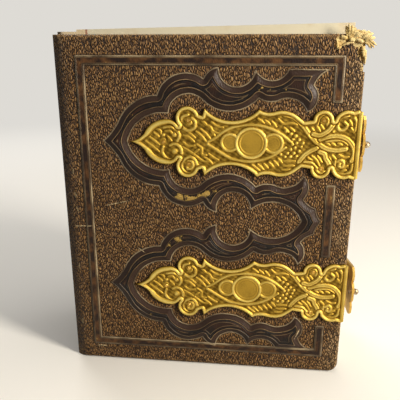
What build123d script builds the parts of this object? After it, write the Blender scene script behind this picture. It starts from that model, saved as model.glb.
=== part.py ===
from build123d import *
import math
import os

os.makedirs("parts", exist_ok=True)

# Covers: pasteboard boards covered in leather, standing on their tail edges
board_height = 156.0
board_width = 128.5
album_thickness = 52.0
cover_thickness = 4.6
leather_thickness = 0.8
corner_radius = 4.5
edge_bevel = 0.8
turn_in_width = 6.0
spine_edge_setback = 0.3

# Leather joint between a cover and the back of the album
joint_reach = 1.5
joint_drop = 2.8
joint_round_width = 7.5
joint_tongue = 0.35
joint_gap = 0.35

# Back of the album
spine_bulge = 2.85
spine_leather_thickness = 1.2
glue_gap = 0.1

# Page block: thick card leaves, standing proud of the covers at the head, most at the fore-edge
page_tail_gap = 3.0
page_fore_edge_inset = 4.6
page_gap = 0.2
page_head_rise = 1.8
page_head_slope = 2.6
guard_width = 11.4
guard_step = 0.6
leaf_pitch = 2.6
leaf_groove_width = 0.3
leaf_groove_depth = 0.7
page_back_round = 4.0

# Blocked ornament of the covers
relief_step = 0.6
relief_bevel_width = 1.4
chord_turn = 30.0
border_inset = 8.2
border_fore_inset = 7.9
border_width = 4.2
border_height = 0.5
border_gap = 2.6
clasp_pitch = 69.0
clasp_drop = 1.0

# Worn front corner at the head of the fore-edge
worn_width = 13.0
worn_drop = 15.0

# Clasp plates on the front cover
plate_tip_inset = 30.25
plate_half_height = 14.9
plate_thickness = 0.8
plate_rim_width = 1.2
plate_relief = 0.5
flange_thickness = 0.6
flange_height = 25.0
cartouche_radius = 5.9
disc_radius = 3.5
ring_width = 0.8
ring_sides = 10
volute_radius = 3.2
lobe_volute_radius = 2.4
end_volute_radius = 2.9
leaf_volute_radius = 2.8
ribbon_width = 1.1
vein_length = 4.0

# Hinge plates on the rear cover
rear_plate_length = 22.0
rear_plate_half_height = 12.5

# Hasps, their knuckles, hinge pins and knobs
hasp_thickness = 0.7
hasp_height = 24.0
hasp_waist = 19.0
hasp_clearance = 0.4
hasp_tip_reach = 0.4
hasp_rim_width = 1.2
hasp_rim_height = 0.3
knuckle_radius = 1.05
knuckle_count = 3
knuckle_gap = 0.25
knuckle_relief = 0.4
hinge_pin_radius = 0.5
running_clearance = 0.05
hinge_pin_head_radius = 0.85
hinge_pin_head_thickness = 0.5
pin_behind_board = 1.2
knob_radius = 1.5
knob_sink = 0.2
knob_collar_radius = 1.15
knob_collar_thickness = 0.3
knob_sides = 12
knob_bands = 4
peg_radius = 0.85
peg_length = 0.65
catch_hole_clearance = 0.35
catch_depth = 2.3
upper_ajar_angle = 0.8
lower_ajar_angle = 2.7

# Round-headed pins that hold the plates
tack_head_radius = 0.95
tack_head_height = 0.55
tack_head_taper = 35.0
tack_head_sides = 10
tack_shank_width = 0.7
tack_clearance = 0.05
tack_length = 3.6

overrun = 1.0

# The origin is in the middle of the footprint, on the surface that the album stands on
left_reach = board_width / 2 + joint_reach + spine_bulge
hasp_reach = album_thickness - cover_thickness + pin_behind_board + hasp_tip_reach
knob_reach = knob_collar_thickness + knob_radius - knob_sink
right_reach = board_width / 2 + flange_thickness + hasp_clearance + hasp_thickness
right_reach += knob_reach + knob_radius
right_reach += hasp_reach * math.sin(math.radians(lower_ajar_angle))
cover_x = (left_reach - right_reach) / 2
spine_x = cover_x - board_width / 2
fore_x = cover_x + board_width / 2
face_y = album_thickness / 2
inner_y = face_y - cover_thickness
mirror_height = board_height / 2 - clasp_drop
upper_clasp_z = mirror_height + clasp_pitch / 2
lower_clasp_z = mirror_height - clasp_pitch / 2


def face_plane(side, lift=0.0):
    """Plane of a cover's outer face: side -1 is the front, +1 the rear, and lift stands out of it."""
    return Plane(
        origin=(cover_x, side * (face_y + lift), 0),
        x_dir=(-side, 0, 0),
        z_dir=(0, side, 0),
    )


def chords(start, middle, end):
    """Points along an arc, close enough together for its chords to look round."""
    arc = Edge.make_three_point_arc(start, middle, end)
    steps = math.ceil(math.degrees(arc.length / arc.radius) / chord_turn)
    return arc, [step / steps for step in range(steps + 1)]


def trace(start, runs):
    """Outline through a table of straight runs and arcs, inside a BuildLine block."""
    here = start
    for middle, end in runs:
        if middle is None:
            Line(here, end)
        else:
            arc, shares = chords(here, middle, end)
            Polyline([arc @ share for share in shares])
        here = end


def scaled(runs, width, height, offset_x=0.0, offset_z=0.0):
    """A table of runs in shares, brought to size."""

    def place(point):
        if point is None:
            return None
        return (offset_x + point[0] * width, offset_z + point[1] * height)

    return [(place(middle), place(end)) for middle, end in runs]


# Cover body, seen from above: flat inside, and curving back to the joint at the spine
def cover_section(side):
    face = side * face_y
    inside = side * inner_y
    round_start = (spine_x - joint_reach + joint_round_width, face)
    joint_corner = (spine_x - joint_reach, side * (face_y - joint_drop))
    tongue_y = side * (face_y - joint_drop - joint_tongue)
    edge_x = spine_x + spine_edge_setback
    with BuildLine() as outline:
        Line((fore_x, inside), (fore_x, face))
        Line((fore_x, face), round_start)
        TangentArc(round_start, joint_corner, tangent=(-1, 0))
        Line(joint_corner, (joint_corner[0], tongue_y))
        Line((joint_corner[0], tongue_y), (edge_x, tongue_y))
        Line((edge_x, tongue_y), (edge_x, inside))
        Line((edge_x, inside), (fore_x, inside))
    return outline


def cover_body(side):
    """The whole cover as one closed solid, with round corners at the fore-edge."""
    outline = cover_section(side)
    with BuildPart() as body:
        with BuildSketch(Plane.XY):
            add(outline.line)
            make_face()
        extrude(amount=board_height)
        fore_corners = body.edges().filter_by(Axis.Y).group_by(Axis.X)[-1]
        fillet(fore_corners, corner_radius)
        rim = body.faces().filter_by(Axis.Y).sort_by(Axis.Y)[0 if side < 0 else -1]
        chamfer(rim.edges().filter_by(Axis.Y, reverse=True).sort_by(Axis.X)[1:], edge_bevel)
    return body.part


# The pasteboard inside a cover, which ends where the joint's curve starts, and the lining that
# closes the cover's inside face
core_spine_inset = joint_round_width - joint_reach
core_width = board_width - leather_thickness - core_spine_inset
core_shift = (core_spine_inset - leather_thickness) / 2
core_height = board_height - 2 * leather_thickness
core_thickness = cover_thickness - 2 * leather_thickness
lining_width = board_width - 2 * turn_in_width
lining_height = board_height - 2 * turn_in_width


def core_solid(side):
    with BuildPart() as core:
        with BuildSketch(face_plane(side, -leather_thickness)) as outline:
            with Locations((-side * core_shift, board_height / 2)):
                Rectangle(core_width, core_height)
            fore_corners = outline.vertices().group_by(Axis.X)[0 if side > 0 else -1]
            fillet(fore_corners, corner_radius - leather_thickness)
        extrude(amount=-core_thickness)
    return core.part


def lining_solid(side):
    with BuildPart() as lining:
        with BuildSketch(face_plane(side, leather_thickness - cover_thickness)):
            with Locations((0, board_height / 2)):
                Rectangle(lining_width, lining_height)
        extrude(amount=-leather_thickness)
    return lining.part


# Raised moulding round the clasps. The upper half is drawn, in shares of the board's width
# across and of the clasp pitch up, from the upper clasp's axis.
moulding_start_share = (0.397, -0.500)
moulding_inner_shares = [
    ((0.383, -0.455), (0.376, -0.414)),
    ((0.352, -0.391), (0.333, -0.352)),
    ((0.349, -0.278), (0.329, -0.199)),
    ((0.313, -0.246), (0.283, -0.274)),
    ((0.263, -0.280), (0.237, -0.267)),
    ((0.206, -0.258), (0.172, -0.280)),
    ((0.087, -0.199), (-0.011, -0.265)),
    ((-0.078, -0.296), (-0.127, -0.180)),
    ((-0.210, -0.151), (-0.269, 0.000)),
    ((-0.210, 0.151), (-0.127, 0.180)),
    ((-0.078, 0.296), (-0.011, 0.265)),
    ((0.087, 0.199), (0.172, 0.280)),
    ((0.206, 0.258), (0.237, 0.267)),
    ((0.263, 0.280), (0.283, 0.274)),
    ((0.313, 0.246), (0.329, 0.199)),
]
moulding_outer_shares = [
    ((0.360, 0.272), (0.345, 0.357)),
    ((0.361, 0.409), (0.391, 0.446)),
    (None, (0.265, 0.446)),
    ((0.212, 0.381), (0.159, 0.443)),
    ((0.098, 0.342), (0.039, 0.455)),
    ((0.010, 0.433), (-0.009, 0.388)),
    ((-0.093, 0.416), (-0.163, 0.288)),
    ((-0.245, 0.241), (-0.297, 0.125)),
    ((-0.322, 0.055), (-0.353, 0.000)),
    ((-0.322, -0.055), (-0.297, -0.125)),
    ((-0.245, -0.241), (-0.163, -0.288)),
    ((-0.093, -0.416), (-0.009, -0.388)),
    ((0.010, -0.433), (0.039, -0.455)),
    ((0.092, -0.316), (0.156, -0.433)),
    ((0.249, -0.378), (0.332, -0.500)),
    (None, (0.397, -0.500)),
]


def moulding_sketch(plane, inset):
    """Outline of the moulding on a cover's face, drawn in by inset all round."""
    runs = moulding_inner_shares + moulding_outer_shares
    start = (
        moulding_start_share[0] * board_width,
        upper_clasp_z + moulding_start_share[1] * clasp_pitch,
    )
    with BuildSketch(plane) as sketch:
        with BuildLine():
            trace(start, scaled(runs, board_width, clasp_pitch, offset_z=upper_clasp_z))
        make_face()
        mirror(about=Plane.XZ.offset(-mirror_height))
        if inset > 0:
            offset(amount=-inset, kind=Kind.ARC, mode=Mode.REPLACE)
    return sketch.sketch


def border_sketch(plane, side):
    """Straight fillet band near the cover's edges, open at the clasps."""
    outer_width = board_width - border_inset - border_fore_inset
    outer_height = board_height - 2 * border_inset
    shift = side * (border_fore_inset - border_inset) / 2
    with BuildSketch(plane) as sketch:
        with Locations((shift, board_height / 2)):
            Rectangle(outer_width, outer_height)
            Rectangle(
                outer_width - 2 * border_width,
                outer_height - 2 * border_width,
                mode=Mode.SUBTRACT,
            )
        gap_height = 2 * (plate_half_height + border_gap)
        gap_x = side * (border_fore_inset - board_width / 2)
        with Locations((gap_x, upper_clasp_z), (gap_x, lower_clasp_z)):
            Rectangle(2 * (border_width + border_gap), gap_height, mode=Mode.SUBTRACT)
    return sketch.sketch


# Ragged bare patch at the worn corner, in shares of its own width and drop from the corner
worn_patch_shares = [
    (-0.92, 0.10),
    (-1.00, -0.28),
    (-0.94, -0.44),
    (-0.74, -0.33),
    (-0.50, -0.26),
    (-0.30, -0.36),
    (-0.24, -0.58),
    (-0.14, -0.72),
    (-0.11, -1.00),
    (0.15, -0.98),
    (0.15, 0.10),
]


# Front cover: blocked leather over the pasteboard, worn through at one corner
front_core = core_solid(-1)
front_inside = lining_solid(-1)
plate_length = board_width - plate_tip_inset + flange_thickness
plate_tip_x = plate_tip_inset - board_width / 2
tack_hole_width = tack_shank_width + 2 * tack_clearance
tack_shares = [(0.157, 0.0), (0.268, 0.64), (0.268, -0.64), (0.844, 0.69), (0.844, -0.69)]
front_tack_places = [
    (plate_tip_x + across * plate_length, clasp_z + up * plate_half_height)
    for clasp_z in (upper_clasp_z, lower_clasp_z)
    for across, up in tack_shares
]

with BuildPart() as front_leather:
    add(cover_body(-1))
    for level, inset in enumerate((0, relief_bevel_width)):
        extrude(moulding_sketch(face_plane(-1, level * relief_step), inset), amount=relief_step)
    extrude(border_sketch(face_plane(-1), -1), amount=border_height)
    add(front_core, mode=Mode.SUBTRACT)
    add(front_inside, mode=Mode.SUBTRACT)
    with BuildSketch(face_plane(-1, overrun)):
        with BuildLine():
            Polyline(
                [
                    (board_width / 2 + x * worn_width, board_height + z * worn_drop)
                    for x, z in worn_patch_shares
                ],
                close=True,
            )
        make_face()
    extrude(amount=-(overrun + leather_thickness + core_thickness), mode=Mode.SUBTRACT)
    with BuildSketch(face_plane(-1)):
        with Locations(*front_tack_places):
            Rectangle(tack_hole_width, tack_hole_width)
    extrude(amount=-leather_thickness, mode=Mode.SUBTRACT)

with BuildPart() as front_board:
    add(front_core)
    with BuildSketch(face_plane(-1)):
        with Locations(*front_tack_places):
            Rectangle(tack_hole_width, tack_hole_width)
    extrude(amount=-(tack_length - plate_thickness), mode=Mode.SUBTRACT)

with BuildPart() as front_lining:
    add(front_inside)

# Rear cover: the same leather and border with no clasps on its face
rear_core = core_solid(1)
rear_inside = lining_solid(1)
rear_tack_shares = [(0.3, 0.6), (0.3, -0.6), (0.78, 0.0)]
rear_tack_places = [
    (-board_width / 2 + across * rear_plate_length, clasp_z + up * rear_plate_half_height)
    for clasp_z in (upper_clasp_z, lower_clasp_z)
    for across, up in rear_tack_shares
]

with BuildPart() as rear_leather:
    add(cover_body(1))
    extrude(border_sketch(face_plane(1), 1), amount=border_height)
    add(rear_core, mode=Mode.SUBTRACT)
    add(rear_inside, mode=Mode.SUBTRACT)
    with BuildSketch(face_plane(1)):
        with Locations(*rear_tack_places):
            Rectangle(tack_hole_width, tack_hole_width)
    extrude(amount=-leather_thickness, mode=Mode.SUBTRACT)

with BuildPart() as rear_board:
    add(rear_core)
    with BuildSketch(face_plane(1)):
        with Locations(*rear_tack_places):
            Rectangle(tack_hole_width, tack_hole_width)
    extrude(amount=-(tack_length - plate_thickness), mode=Mode.SUBTRACT)

with BuildPart() as rear_lining:
    add(rear_inside)

# Page block: one solid of thick leaves, round-backed to the spine leather, with its head
# trimmed out of square, a step at the sewing guards and a groove between every two leaves
spine_end_x = spine_x - joint_reach
spine_end_y = face_y - joint_drop - joint_tongue - joint_gap
back_radius = (spine_end_y**2 + spine_bulge**2) / (2 * spine_bulge)
page_half_thickness = inner_y - page_gap
page_back_x = spine_end_x - spine_bulge + spine_leather_thickness + glue_gap
page_fore_x = fore_x - page_fore_edge_inset
page_head_z = board_height + page_head_rise
leaf_count = int(2 * page_half_thickness / leaf_pitch)


def page_profile(inset):
    """Front view of the leaves: a flat tail and a head that rises towards the fore-edge."""
    head_low = page_head_z - inset
    head_high = page_head_z + page_head_slope - inset
    with BuildSketch(Plane.XZ) as profile:
        with BuildLine():
            Polyline(
                (page_back_x - overrun, page_tail_gap + inset),
                (page_fore_x - inset, page_tail_gap + inset),
                (page_fore_x - inset, head_high),
                (page_back_x - overrun, head_low),
                close=True,
            )
        make_face()
    return profile.sketch


with BuildPart() as page_block:
    with BuildSketch() as page_section:
        with Locations(((page_back_x + page_fore_x) / 2, 0)):
            Rectangle(page_fore_x - page_back_x, 2 * page_half_thickness)
        with Locations((page_back_x + back_radius, 0)):
            Circle(back_radius, mode=Mode.INTERSECT)
        fillet(page_section.vertices().group_by(Axis.X)[0], page_back_round)
    extrude(amount=page_head_z + page_head_slope + overrun)
    extrude(page_profile(0), amount=page_half_thickness + overrun, both=True, mode=Mode.INTERSECT)
    leaf_ring = page_profile(-overrun) - page_profile(leaf_groove_depth)
    for leaf in range(1, leaf_count):
        groove_y = page_half_thickness * (2 * leaf / leaf_count - 1)
        with Locations((0, groove_y, 0)):
            add(extrude(leaf_ring, amount=leaf_groove_width, mode=Mode.PRIVATE), mode=Mode.SUBTRACT)
    with Locations((page_back_x, 0, page_head_z - guard_step)):
        Box(
            2 * guard_width,
            album_thickness,
            page_head_slope,
            align=(Align.CENTER, Align.CENTER, Align.MIN),
            mode=Mode.SUBTRACT,
        )

# Spine: one strip of leather from joint to joint, glued to the back of the leaves
with BuildPart() as spine_leather:
    with BuildSketch():
        with BuildLine():
            inner_end = spine_end_x + spine_leather_thickness
            ThreePointArc(
                (spine_end_x, -spine_end_y),
                (spine_end_x - spine_bulge, 0),
                (spine_end_x, spine_end_y),
            )
            Line((spine_end_x, spine_end_y), (inner_end, spine_end_y))
            ThreePointArc(
                (inner_end, spine_end_y),
                (inner_end - spine_bulge, 0),
                (inner_end, -spine_end_y),
            )
            Line((inner_end, -spine_end_y), (spine_end_x, -spine_end_y))
        make_face()
    extrude(amount=board_height)


# Stamped brass plate on the front cover, from its leaf tip to the flange round the fore-edge.
# Its upper half is drawn in shares of its own length and half height.
plate_shares = [
    ((0.036, 0.067), (0.071, 0.242)),
    ((0.115, 0.570), (0.172, 0.671)),
    ((0.207, 0.604), (0.224, 0.483)),
    ((0.237, 1.000), (0.313, 0.819)),
    (None, (0.328, 0.779)),
    (None, (0.338, 1.000)),
    ((0.455, 0.651), (0.571, 0.987)),
    ((0.597, 0.913), (0.637, 0.926)),
    ((0.694, 0.940), (0.738, 0.792)),
    (None, (0.762, 0.664)),
    (None, (0.798, 0.698)),
    ((0.844, 0.987), (0.886, 0.698)),
    ((0.919, 0.960), (0.963, 0.960)),
    (None, (0.983, 1.000)),
    (None, (1.000, 0.940)),
    (None, (1.000, 0.000)),
    (None, (0.000, 0.000)),
]
cartouche_share = 0.541
side_disc_shares = (0.447, 0.636)
almond_shares = ((0.344, 0.0), (0.541, 0.56), (0.770, 0.0))
volute_shares = (0.268, 0.64)
leaf_volute_shares = (0.203, 0.25)
lobe_volute_shares = (0.844, 0.69)
end_volute_shares = (0.934, 0.66)
ribbon_shares = ((0.735, 0.66), (0.812, 0.22), (0.915, -0.08))
loop_shares = ((0.815, 0.20), (0.905, 0.30), (0.972, 0.00))
vein_places_share = ((0.085, 0.12), (0.115, 0.20), (0.145, 0.27))
vein_angle = 38


def clasp_plane(clasp_z, lift=0.0):
    """Plane on the front cover with its origin at the tip of a plate."""
    return Plane(
        origin=(cover_x + plate_tip_x, -(face_y + lift), clasp_z),
        x_dir=(1, 0, 0),
        z_dir=(0, -1, 0),
    )


def plate_outline(plane, inset):
    with BuildSketch(plane) as outline:
        with BuildLine():
            trace((0, 0), scaled(plate_shares, plate_length, plate_half_height))
        make_face()
        mirror(about=Plane.XZ)
        if inset > 0:
            offset(amount=-inset, kind=Kind.ARC, mode=Mode.REPLACE)
    return outline.sketch


def on_plate(point):
    return (point[0] * plate_length, point[1] * plate_half_height)


def ring(radius):
    """A raised ring of the stamping, inside a sketch."""
    RegularPolygon(radius, ring_sides)
    RegularPolygon(radius - ring_width, ring_sides, mode=Mode.SUBTRACT)


def ribbon(start, middle, end):
    """A raised line of even width along an arc, inside a sketch."""
    arc, shares = chords(start, middle, end)
    across = [(arc @ share, (arc % share).rotate(Axis.Z, 90)) for share in shares]
    near = [point + normal * ribbon_width / 2 for point, normal in across]
    far = [point - normal * ribbon_width / 2 for point, normal in across]
    with BuildLine() as outline:
        Polyline(*near, *reversed(far), close=True)
    make_face(outline.edges())


def plate_ridges(plane):
    """The raised lines inside the rim: cartouche, almond, volutes, ribbons and leaf veins."""
    with BuildSketch(plane) as ridges:
        with BuildLine():
            start, top, end = [on_plate(point) for point in almond_shares]
            trace(start, [(top, end), ((top[0], -top[1]), start)])
        make_face()
        offset(amount=-ring_width, kind=Kind.ARC, mode=Mode.SUBTRACT)
        with Locations(*[(share * plate_length, 0) for share in side_disc_shares]):
            ring(disc_radius)
        with Locations((cartouche_share * plate_length, 0)):
            ring(cartouche_radius)
        for place, radius in (
            (volute_shares, volute_radius),
            (leaf_volute_shares, leaf_volute_radius),
            (lobe_volute_shares, lobe_volute_radius),
            (end_volute_shares, end_volute_radius),
        ):
            across, up = on_plate(place)
            with Locations((across, up), (across, -up)):
                ring(radius)
        for curve in (ribbon_shares, loop_shares):
            for flip in (1, -1):
                ribbon(*[on_plate((x, flip * z)) for x, z in curve])
        for x, z in vein_places_share:
            for flip in (1, -1):
                with Locations(on_plate((x, flip * z))):
                    Rectangle(vein_length, ring_width, rotation=flip * vein_angle)
    return ridges.sketch


tack_spots = [(x * plate_length, z * plate_half_height) for x, z in tack_shares]
hasp_x = fore_x + flange_thickness + hasp_clearance
hinge_pin_x = hasp_x + hasp_thickness / 2
hinge_pin_y = inner_y + pin_behind_board
catch_y = -(face_y - catch_depth)


def fore_plane(clasp_z, x):
    """Plane facing out of the fore-edge, its local x running back and its origin at the catch."""
    return Plane(origin=(x, catch_y, clasp_z), x_dir=(0, 1, 0), z_dir=(1, 0, 0))


def front_plate(clasp_z):
    with BuildPart() as plate:
        extrude(plate_outline(clasp_plane(clasp_z), 0), amount=plate_thickness)
        rim_plane = clasp_plane(clasp_z, plate_thickness)
        rim = plate_outline(rim_plane, 0) - plate_outline(rim_plane, plate_rim_width)
        extrude(rim, amount=plate_relief)
        extrude(plate_ridges(rim_plane), amount=plate_relief)
        with Locations((fore_x, -(face_y + plate_thickness), clasp_z)):
            Box(
                flange_thickness,
                cover_thickness + plate_thickness - page_gap,
                flange_height,
                align=(Align.MIN, Align.MIN, Align.CENTER),
            )
        with BuildSketch(fore_plane(clasp_z, fore_x)):
            Circle(peg_radius + catch_hole_clearance)
        extrude(amount=flange_thickness, mode=Mode.SUBTRACT)
        with BuildSketch(clasp_plane(clasp_z)):
            with Locations(*tack_spots):
                Rectangle(tack_hole_width, tack_hole_width)
        extrude(amount=plate_thickness + plate_relief, mode=Mode.SUBTRACT)
    return plate.part


def tacks(plane, places):
    """Cut pins: a square shank in the board and a domed head on the plate."""
    with BuildPart() as pins:
        with BuildSketch(plane):
            with Locations(*places):
                Rectangle(tack_shank_width, tack_shank_width)
        extrude(amount=-tack_length)
        with BuildSketch(plane):
            with Locations(*places):
                RegularPolygon(tack_head_radius, tack_head_sides)
        extrude(amount=tack_head_height, taper=tack_head_taper)
    return pins.part


# Hinge plate on the rear cover: a leaf with an ogee point, a flange over the fore-edge and
# the outer knuckles of the hasp's hinge. Shares run from the point, as on the front plate.
rear_plate_shares = [
    ((0.060, 0.420), (0.200, 0.620)),
    ((0.140, 0.800), (0.240, 1.000)),
    (None, (1.000, 1.000)),
    (None, (1.000, 0.000)),
    (None, (0.000, 0.000)),
]
knuckle_pitch = hasp_height / knuckle_count


def rear_plate_outline(clasp_z, lift, inset):
    length = rear_plate_length + flange_thickness
    plane = Plane(
        origin=(fore_x - rear_plate_length, face_y + lift, clasp_z),
        x_dir=(-1, 0, 0),
        z_dir=(0, 1, 0),
    )
    with BuildSketch(plane) as outline:
        with BuildLine():
            trace((0, 0), scaled(rear_plate_shares, -length, rear_plate_half_height))
        make_face()
        mirror(about=Plane.XZ)
        if inset > 0:
            offset(amount=-inset, kind=Kind.ARC, mode=Mode.REPLACE)
    return outline.sketch


def knuckle_places(clasp_z, first):
    """Middles of every other knuckle, counted from the lower end of the hinge."""
    low = clasp_z - hasp_height / 2
    return [
        (hinge_pin_x, hinge_pin_y, low + (step + 1 / 2) * knuckle_pitch)
        for step in range(first, knuckle_count, 2)
    ]


def rear_plate(clasp_z):
    with BuildPart() as plate:
        extrude(rear_plate_outline(clasp_z, 0, 0), amount=plate_thickness)
        rim = rear_plate_outline(clasp_z, plate_thickness, 0)
        rim -= rear_plate_outline(clasp_z, plate_thickness, plate_rim_width)
        extrude(rim, amount=plate_relief)
        flange_end_y = hinge_pin_y + knuckle_radius + knuckle_relief
        with Locations((fore_x, flange_end_y, clasp_z)):
            Box(
                flange_thickness,
                face_y + plate_thickness - flange_end_y,
                hasp_height,
                align=(Align.MIN, Align.MIN, Align.CENTER),
            )
        own = knuckle_places(clasp_z, 0)
        with Locations(*own):
            Cylinder(knuckle_radius, knuckle_pitch - knuckle_gap)
        with Locations(*[(fore_x, y, z) for _, y, z in own]):
            Box(
                flange_thickness,
                flange_end_y - hinge_pin_y,
                knuckle_pitch - knuckle_gap,
                align=(Align.MIN, Align.MIN, Align.CENTER),
            )
            Box(
                hinge_pin_x - fore_x,
                knuckle_radius,
                knuckle_pitch - knuckle_gap,
                align=(Align.MIN, Align.MIN, Align.CENTER),
            )
        with Locations((hinge_pin_x, hinge_pin_y, clasp_z)):
            Cylinder(hinge_pin_radius + running_clearance, hasp_height, mode=Mode.SUBTRACT)
        with BuildSketch(face_plane(1)):
            with Locations(*rear_tack_places):
                Rectangle(tack_hole_width, tack_hole_width)
        extrude(amount=plate_thickness + plate_relief, mode=Mode.SUBTRACT)
    return plate.part


def hinge_pin(clasp_z):
    """Wire pin through the knuckles, its two ends riveted over."""
    with BuildPart() as pin:
        with Locations((hinge_pin_x, hinge_pin_y, clasp_z)):
            Cylinder(hinge_pin_radius, hasp_height)
        for way in (1, -1):
            head_z = clasp_z + way * (hasp_height - knuckle_gap + hinge_pin_head_thickness) / 2
            with Locations((hinge_pin_x, hinge_pin_y, head_z)):
                Cylinder(hinge_pin_head_radius, hinge_pin_head_thickness)
    return pin.part


# Hasp: a stamped strap, waisted, with a lobed tip at the catch and two knuckles at the hinge.
# Its upper half is drawn in shares of its reach from the tip and of half its height.
hasp_shares = [
    ((0.008, 0.300), (0.045, 0.420)),
    ((0.022, 0.720), (0.070, 1.000)),
    (None, (0.110, 1.000)),
    ((0.450, hasp_waist / hasp_height), (0.860, 1.000)),
    (None, (1.000, 1.000)),
    (None, (1.000, 0.000)),
    (None, (0.000, 0.000)),
]


def hasp_outline(clasp_z, lift, inset):
    plane = Plane(
        origin=(hasp_x + lift, hinge_pin_y - hasp_reach, clasp_z),
        x_dir=(0, 1, 0),
        z_dir=(1, 0, 0),
    )
    with BuildSketch(plane) as outline:
        with BuildLine():
            trace((0, 0), scaled(hasp_shares, hasp_reach, hasp_height / 2))
        make_face()
        mirror(about=Plane.XZ)
        if inset > 0:
            offset(amount=-inset, kind=Kind.ARC, mode=Mode.REPLACE)
    return outline.sketch


def closed_hasp(clasp_z):
    with BuildPart() as hasp:
        extrude(hasp_outline(clasp_z, 0, 0), amount=hasp_thickness)
        rim = hasp_outline(clasp_z, hasp_thickness, 0)
        rim -= hasp_outline(clasp_z, hasp_thickness, hasp_rim_width)
        extrude(rim, amount=hasp_rim_height)
        with Locations((hinge_pin_x, hinge_pin_y, clasp_z)):
            Cylinder(knuckle_radius + knuckle_relief, hasp_height, mode=Mode.SUBTRACT)
        own = knuckle_places(clasp_z, 1)
        with Locations(*own):
            Cylinder(knuckle_radius, knuckle_pitch - knuckle_gap)
            Box(
                hasp_thickness,
                2 * (knuckle_radius + knuckle_relief),
                knuckle_pitch - knuckle_gap,
                align=(Align.CENTER, Align.MAX, Align.CENTER),
            )
        with Locations((hinge_pin_x, hinge_pin_y, clasp_z)):
            Cylinder(hinge_pin_radius + running_clearance, hasp_height, mode=Mode.SUBTRACT)
        with BuildSketch(fore_plane(clasp_z, hasp_x)):
            Circle(peg_radius + running_clearance)
        extrude(amount=hasp_thickness, mode=Mode.SUBTRACT)
    return hasp.part


def closed_knob(clasp_z):
    """Knob: a ball cut in facets on a collar, with a round peg through the strap."""
    neck_angle = math.acos(1 - knob_sink / knob_radius)
    turns = [
        neck_angle + (math.pi - 2 * neck_angle) * band / knob_bands
        for band in range(knob_bands + 1)
    ]
    strap_x = hasp_x + hasp_thickness
    across_flats = math.cos(math.pi / knob_sides)
    with BuildPart() as knob:
        with BuildSketch(fore_plane(clasp_z, hasp_x - peg_length)):
            Circle(peg_radius)
        extrude(amount=peg_length + hasp_thickness)
        with BuildSketch(fore_plane(clasp_z, strap_x)):
            RegularPolygon(knob_collar_radius, knob_sides)
        extrude(amount=knob_collar_thickness)
        for low, high in zip(turns, turns[1:]):
            rise = knob_radius * (math.cos(low) - math.cos(high))
            spread = knob_radius * (math.sin(low) - math.sin(high)) * across_flats
            band_x = strap_x + knob_reach - knob_radius * math.cos(low)
            with BuildSketch(fore_plane(clasp_z, band_x)):
                RegularPolygon(knob_radius * math.sin(low), knob_sides)
            extrude(amount=rise, taper=math.degrees(math.atan2(spread, rise)))
    return knob.part


def swung(piece, angle):
    """A closed piece, swung out about its hinge pin."""
    return piece.rotate(Axis((hinge_pin_x, hinge_pin_y, 0), (0, 0, 1)), angle)


with BuildPart() as upper_front_plate:
    add(front_plate(upper_clasp_z))

with BuildPart() as lower_front_plate:
    with Locations((0, 0, -clasp_pitch)):
        add(upper_front_plate.part)

with BuildPart() as front_plate_pins:
    add(tacks(face_plane(-1, plate_thickness), front_tack_places))

with BuildPart() as upper_rear_plate:
    add(rear_plate(upper_clasp_z))

with BuildPart() as lower_rear_plate:
    with Locations((0, 0, -clasp_pitch)):
        add(upper_rear_plate.part)

with BuildPart() as rear_plate_pins:
    add(tacks(face_plane(1, plate_thickness), rear_tack_places))

with BuildPart() as upper_hinge_pin:
    add(hinge_pin(upper_clasp_z))

with BuildPart() as lower_hinge_pin:
    add(hinge_pin(lower_clasp_z))

with BuildPart() as upper_hasp:
    add(swung(closed_hasp(upper_clasp_z), upper_ajar_angle))

with BuildPart() as lower_hasp:
    add(swung(closed_hasp(lower_clasp_z), lower_ajar_angle))

with BuildPart() as upper_hasp_knob:
    add(swung(closed_knob(upper_clasp_z), upper_ajar_angle))

with BuildPart() as lower_hasp_knob:
    add(swung(closed_knob(lower_clasp_z), lower_ajar_angle))

page_block.part.label = "page_block"
export_step(page_block.part, "parts/page_block.step")
spine_leather.part.label = "spine_leather"
export_step(spine_leather.part, "parts/spine_leather.step")
front_board.part.label = "front_board"
export_step(front_board.part, "parts/front_board.step")
front_leather.part.label = "front_leather"
export_step(front_leather.part, "parts/front_leather.step")
front_lining.part.label = "front_lining"
export_step(front_lining.part, "parts/front_lining.step")
upper_front_plate.part.label = "upper_front_plate"
export_step(upper_front_plate.part, "parts/upper_front_plate.step")
lower_front_plate.part.label = "lower_front_plate"
export_step(lower_front_plate.part, "parts/lower_front_plate.step")
front_plate_pins.part.label = "front_plate_pins"
export_step(front_plate_pins.part, "parts/front_plate_pins.step")
rear_board.part.label = "rear_board"
export_step(rear_board.part, "parts/rear_board.step")
rear_leather.part.label = "rear_leather"
export_step(rear_leather.part, "parts/rear_leather.step")
rear_lining.part.label = "rear_lining"
export_step(rear_lining.part, "parts/rear_lining.step")
upper_rear_plate.part.label = "upper_rear_plate"
export_step(upper_rear_plate.part, "parts/upper_rear_plate.step")
lower_rear_plate.part.label = "lower_rear_plate"
export_step(lower_rear_plate.part, "parts/lower_rear_plate.step")
rear_plate_pins.part.label = "rear_plate_pins"
export_step(rear_plate_pins.part, "parts/rear_plate_pins.step")
upper_hinge_pin.part.label = "upper_hinge_pin"
export_step(upper_hinge_pin.part, "parts/upper_hinge_pin.step")
lower_hinge_pin.part.label = "lower_hinge_pin"
export_step(lower_hinge_pin.part, "parts/lower_hinge_pin.step")
upper_hasp.part.label = "upper_hasp"
export_step(upper_hasp.part, "parts/upper_hasp.step")
lower_hasp.part.label = "lower_hasp"
export_step(lower_hasp.part, "parts/lower_hasp.step")
upper_hasp_knob.part.label = "upper_hasp_knob"
export_step(upper_hasp_knob.part, "parts/upper_hasp_knob.step")
lower_hasp_knob.part.label = "lower_hasp_knob"
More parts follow.
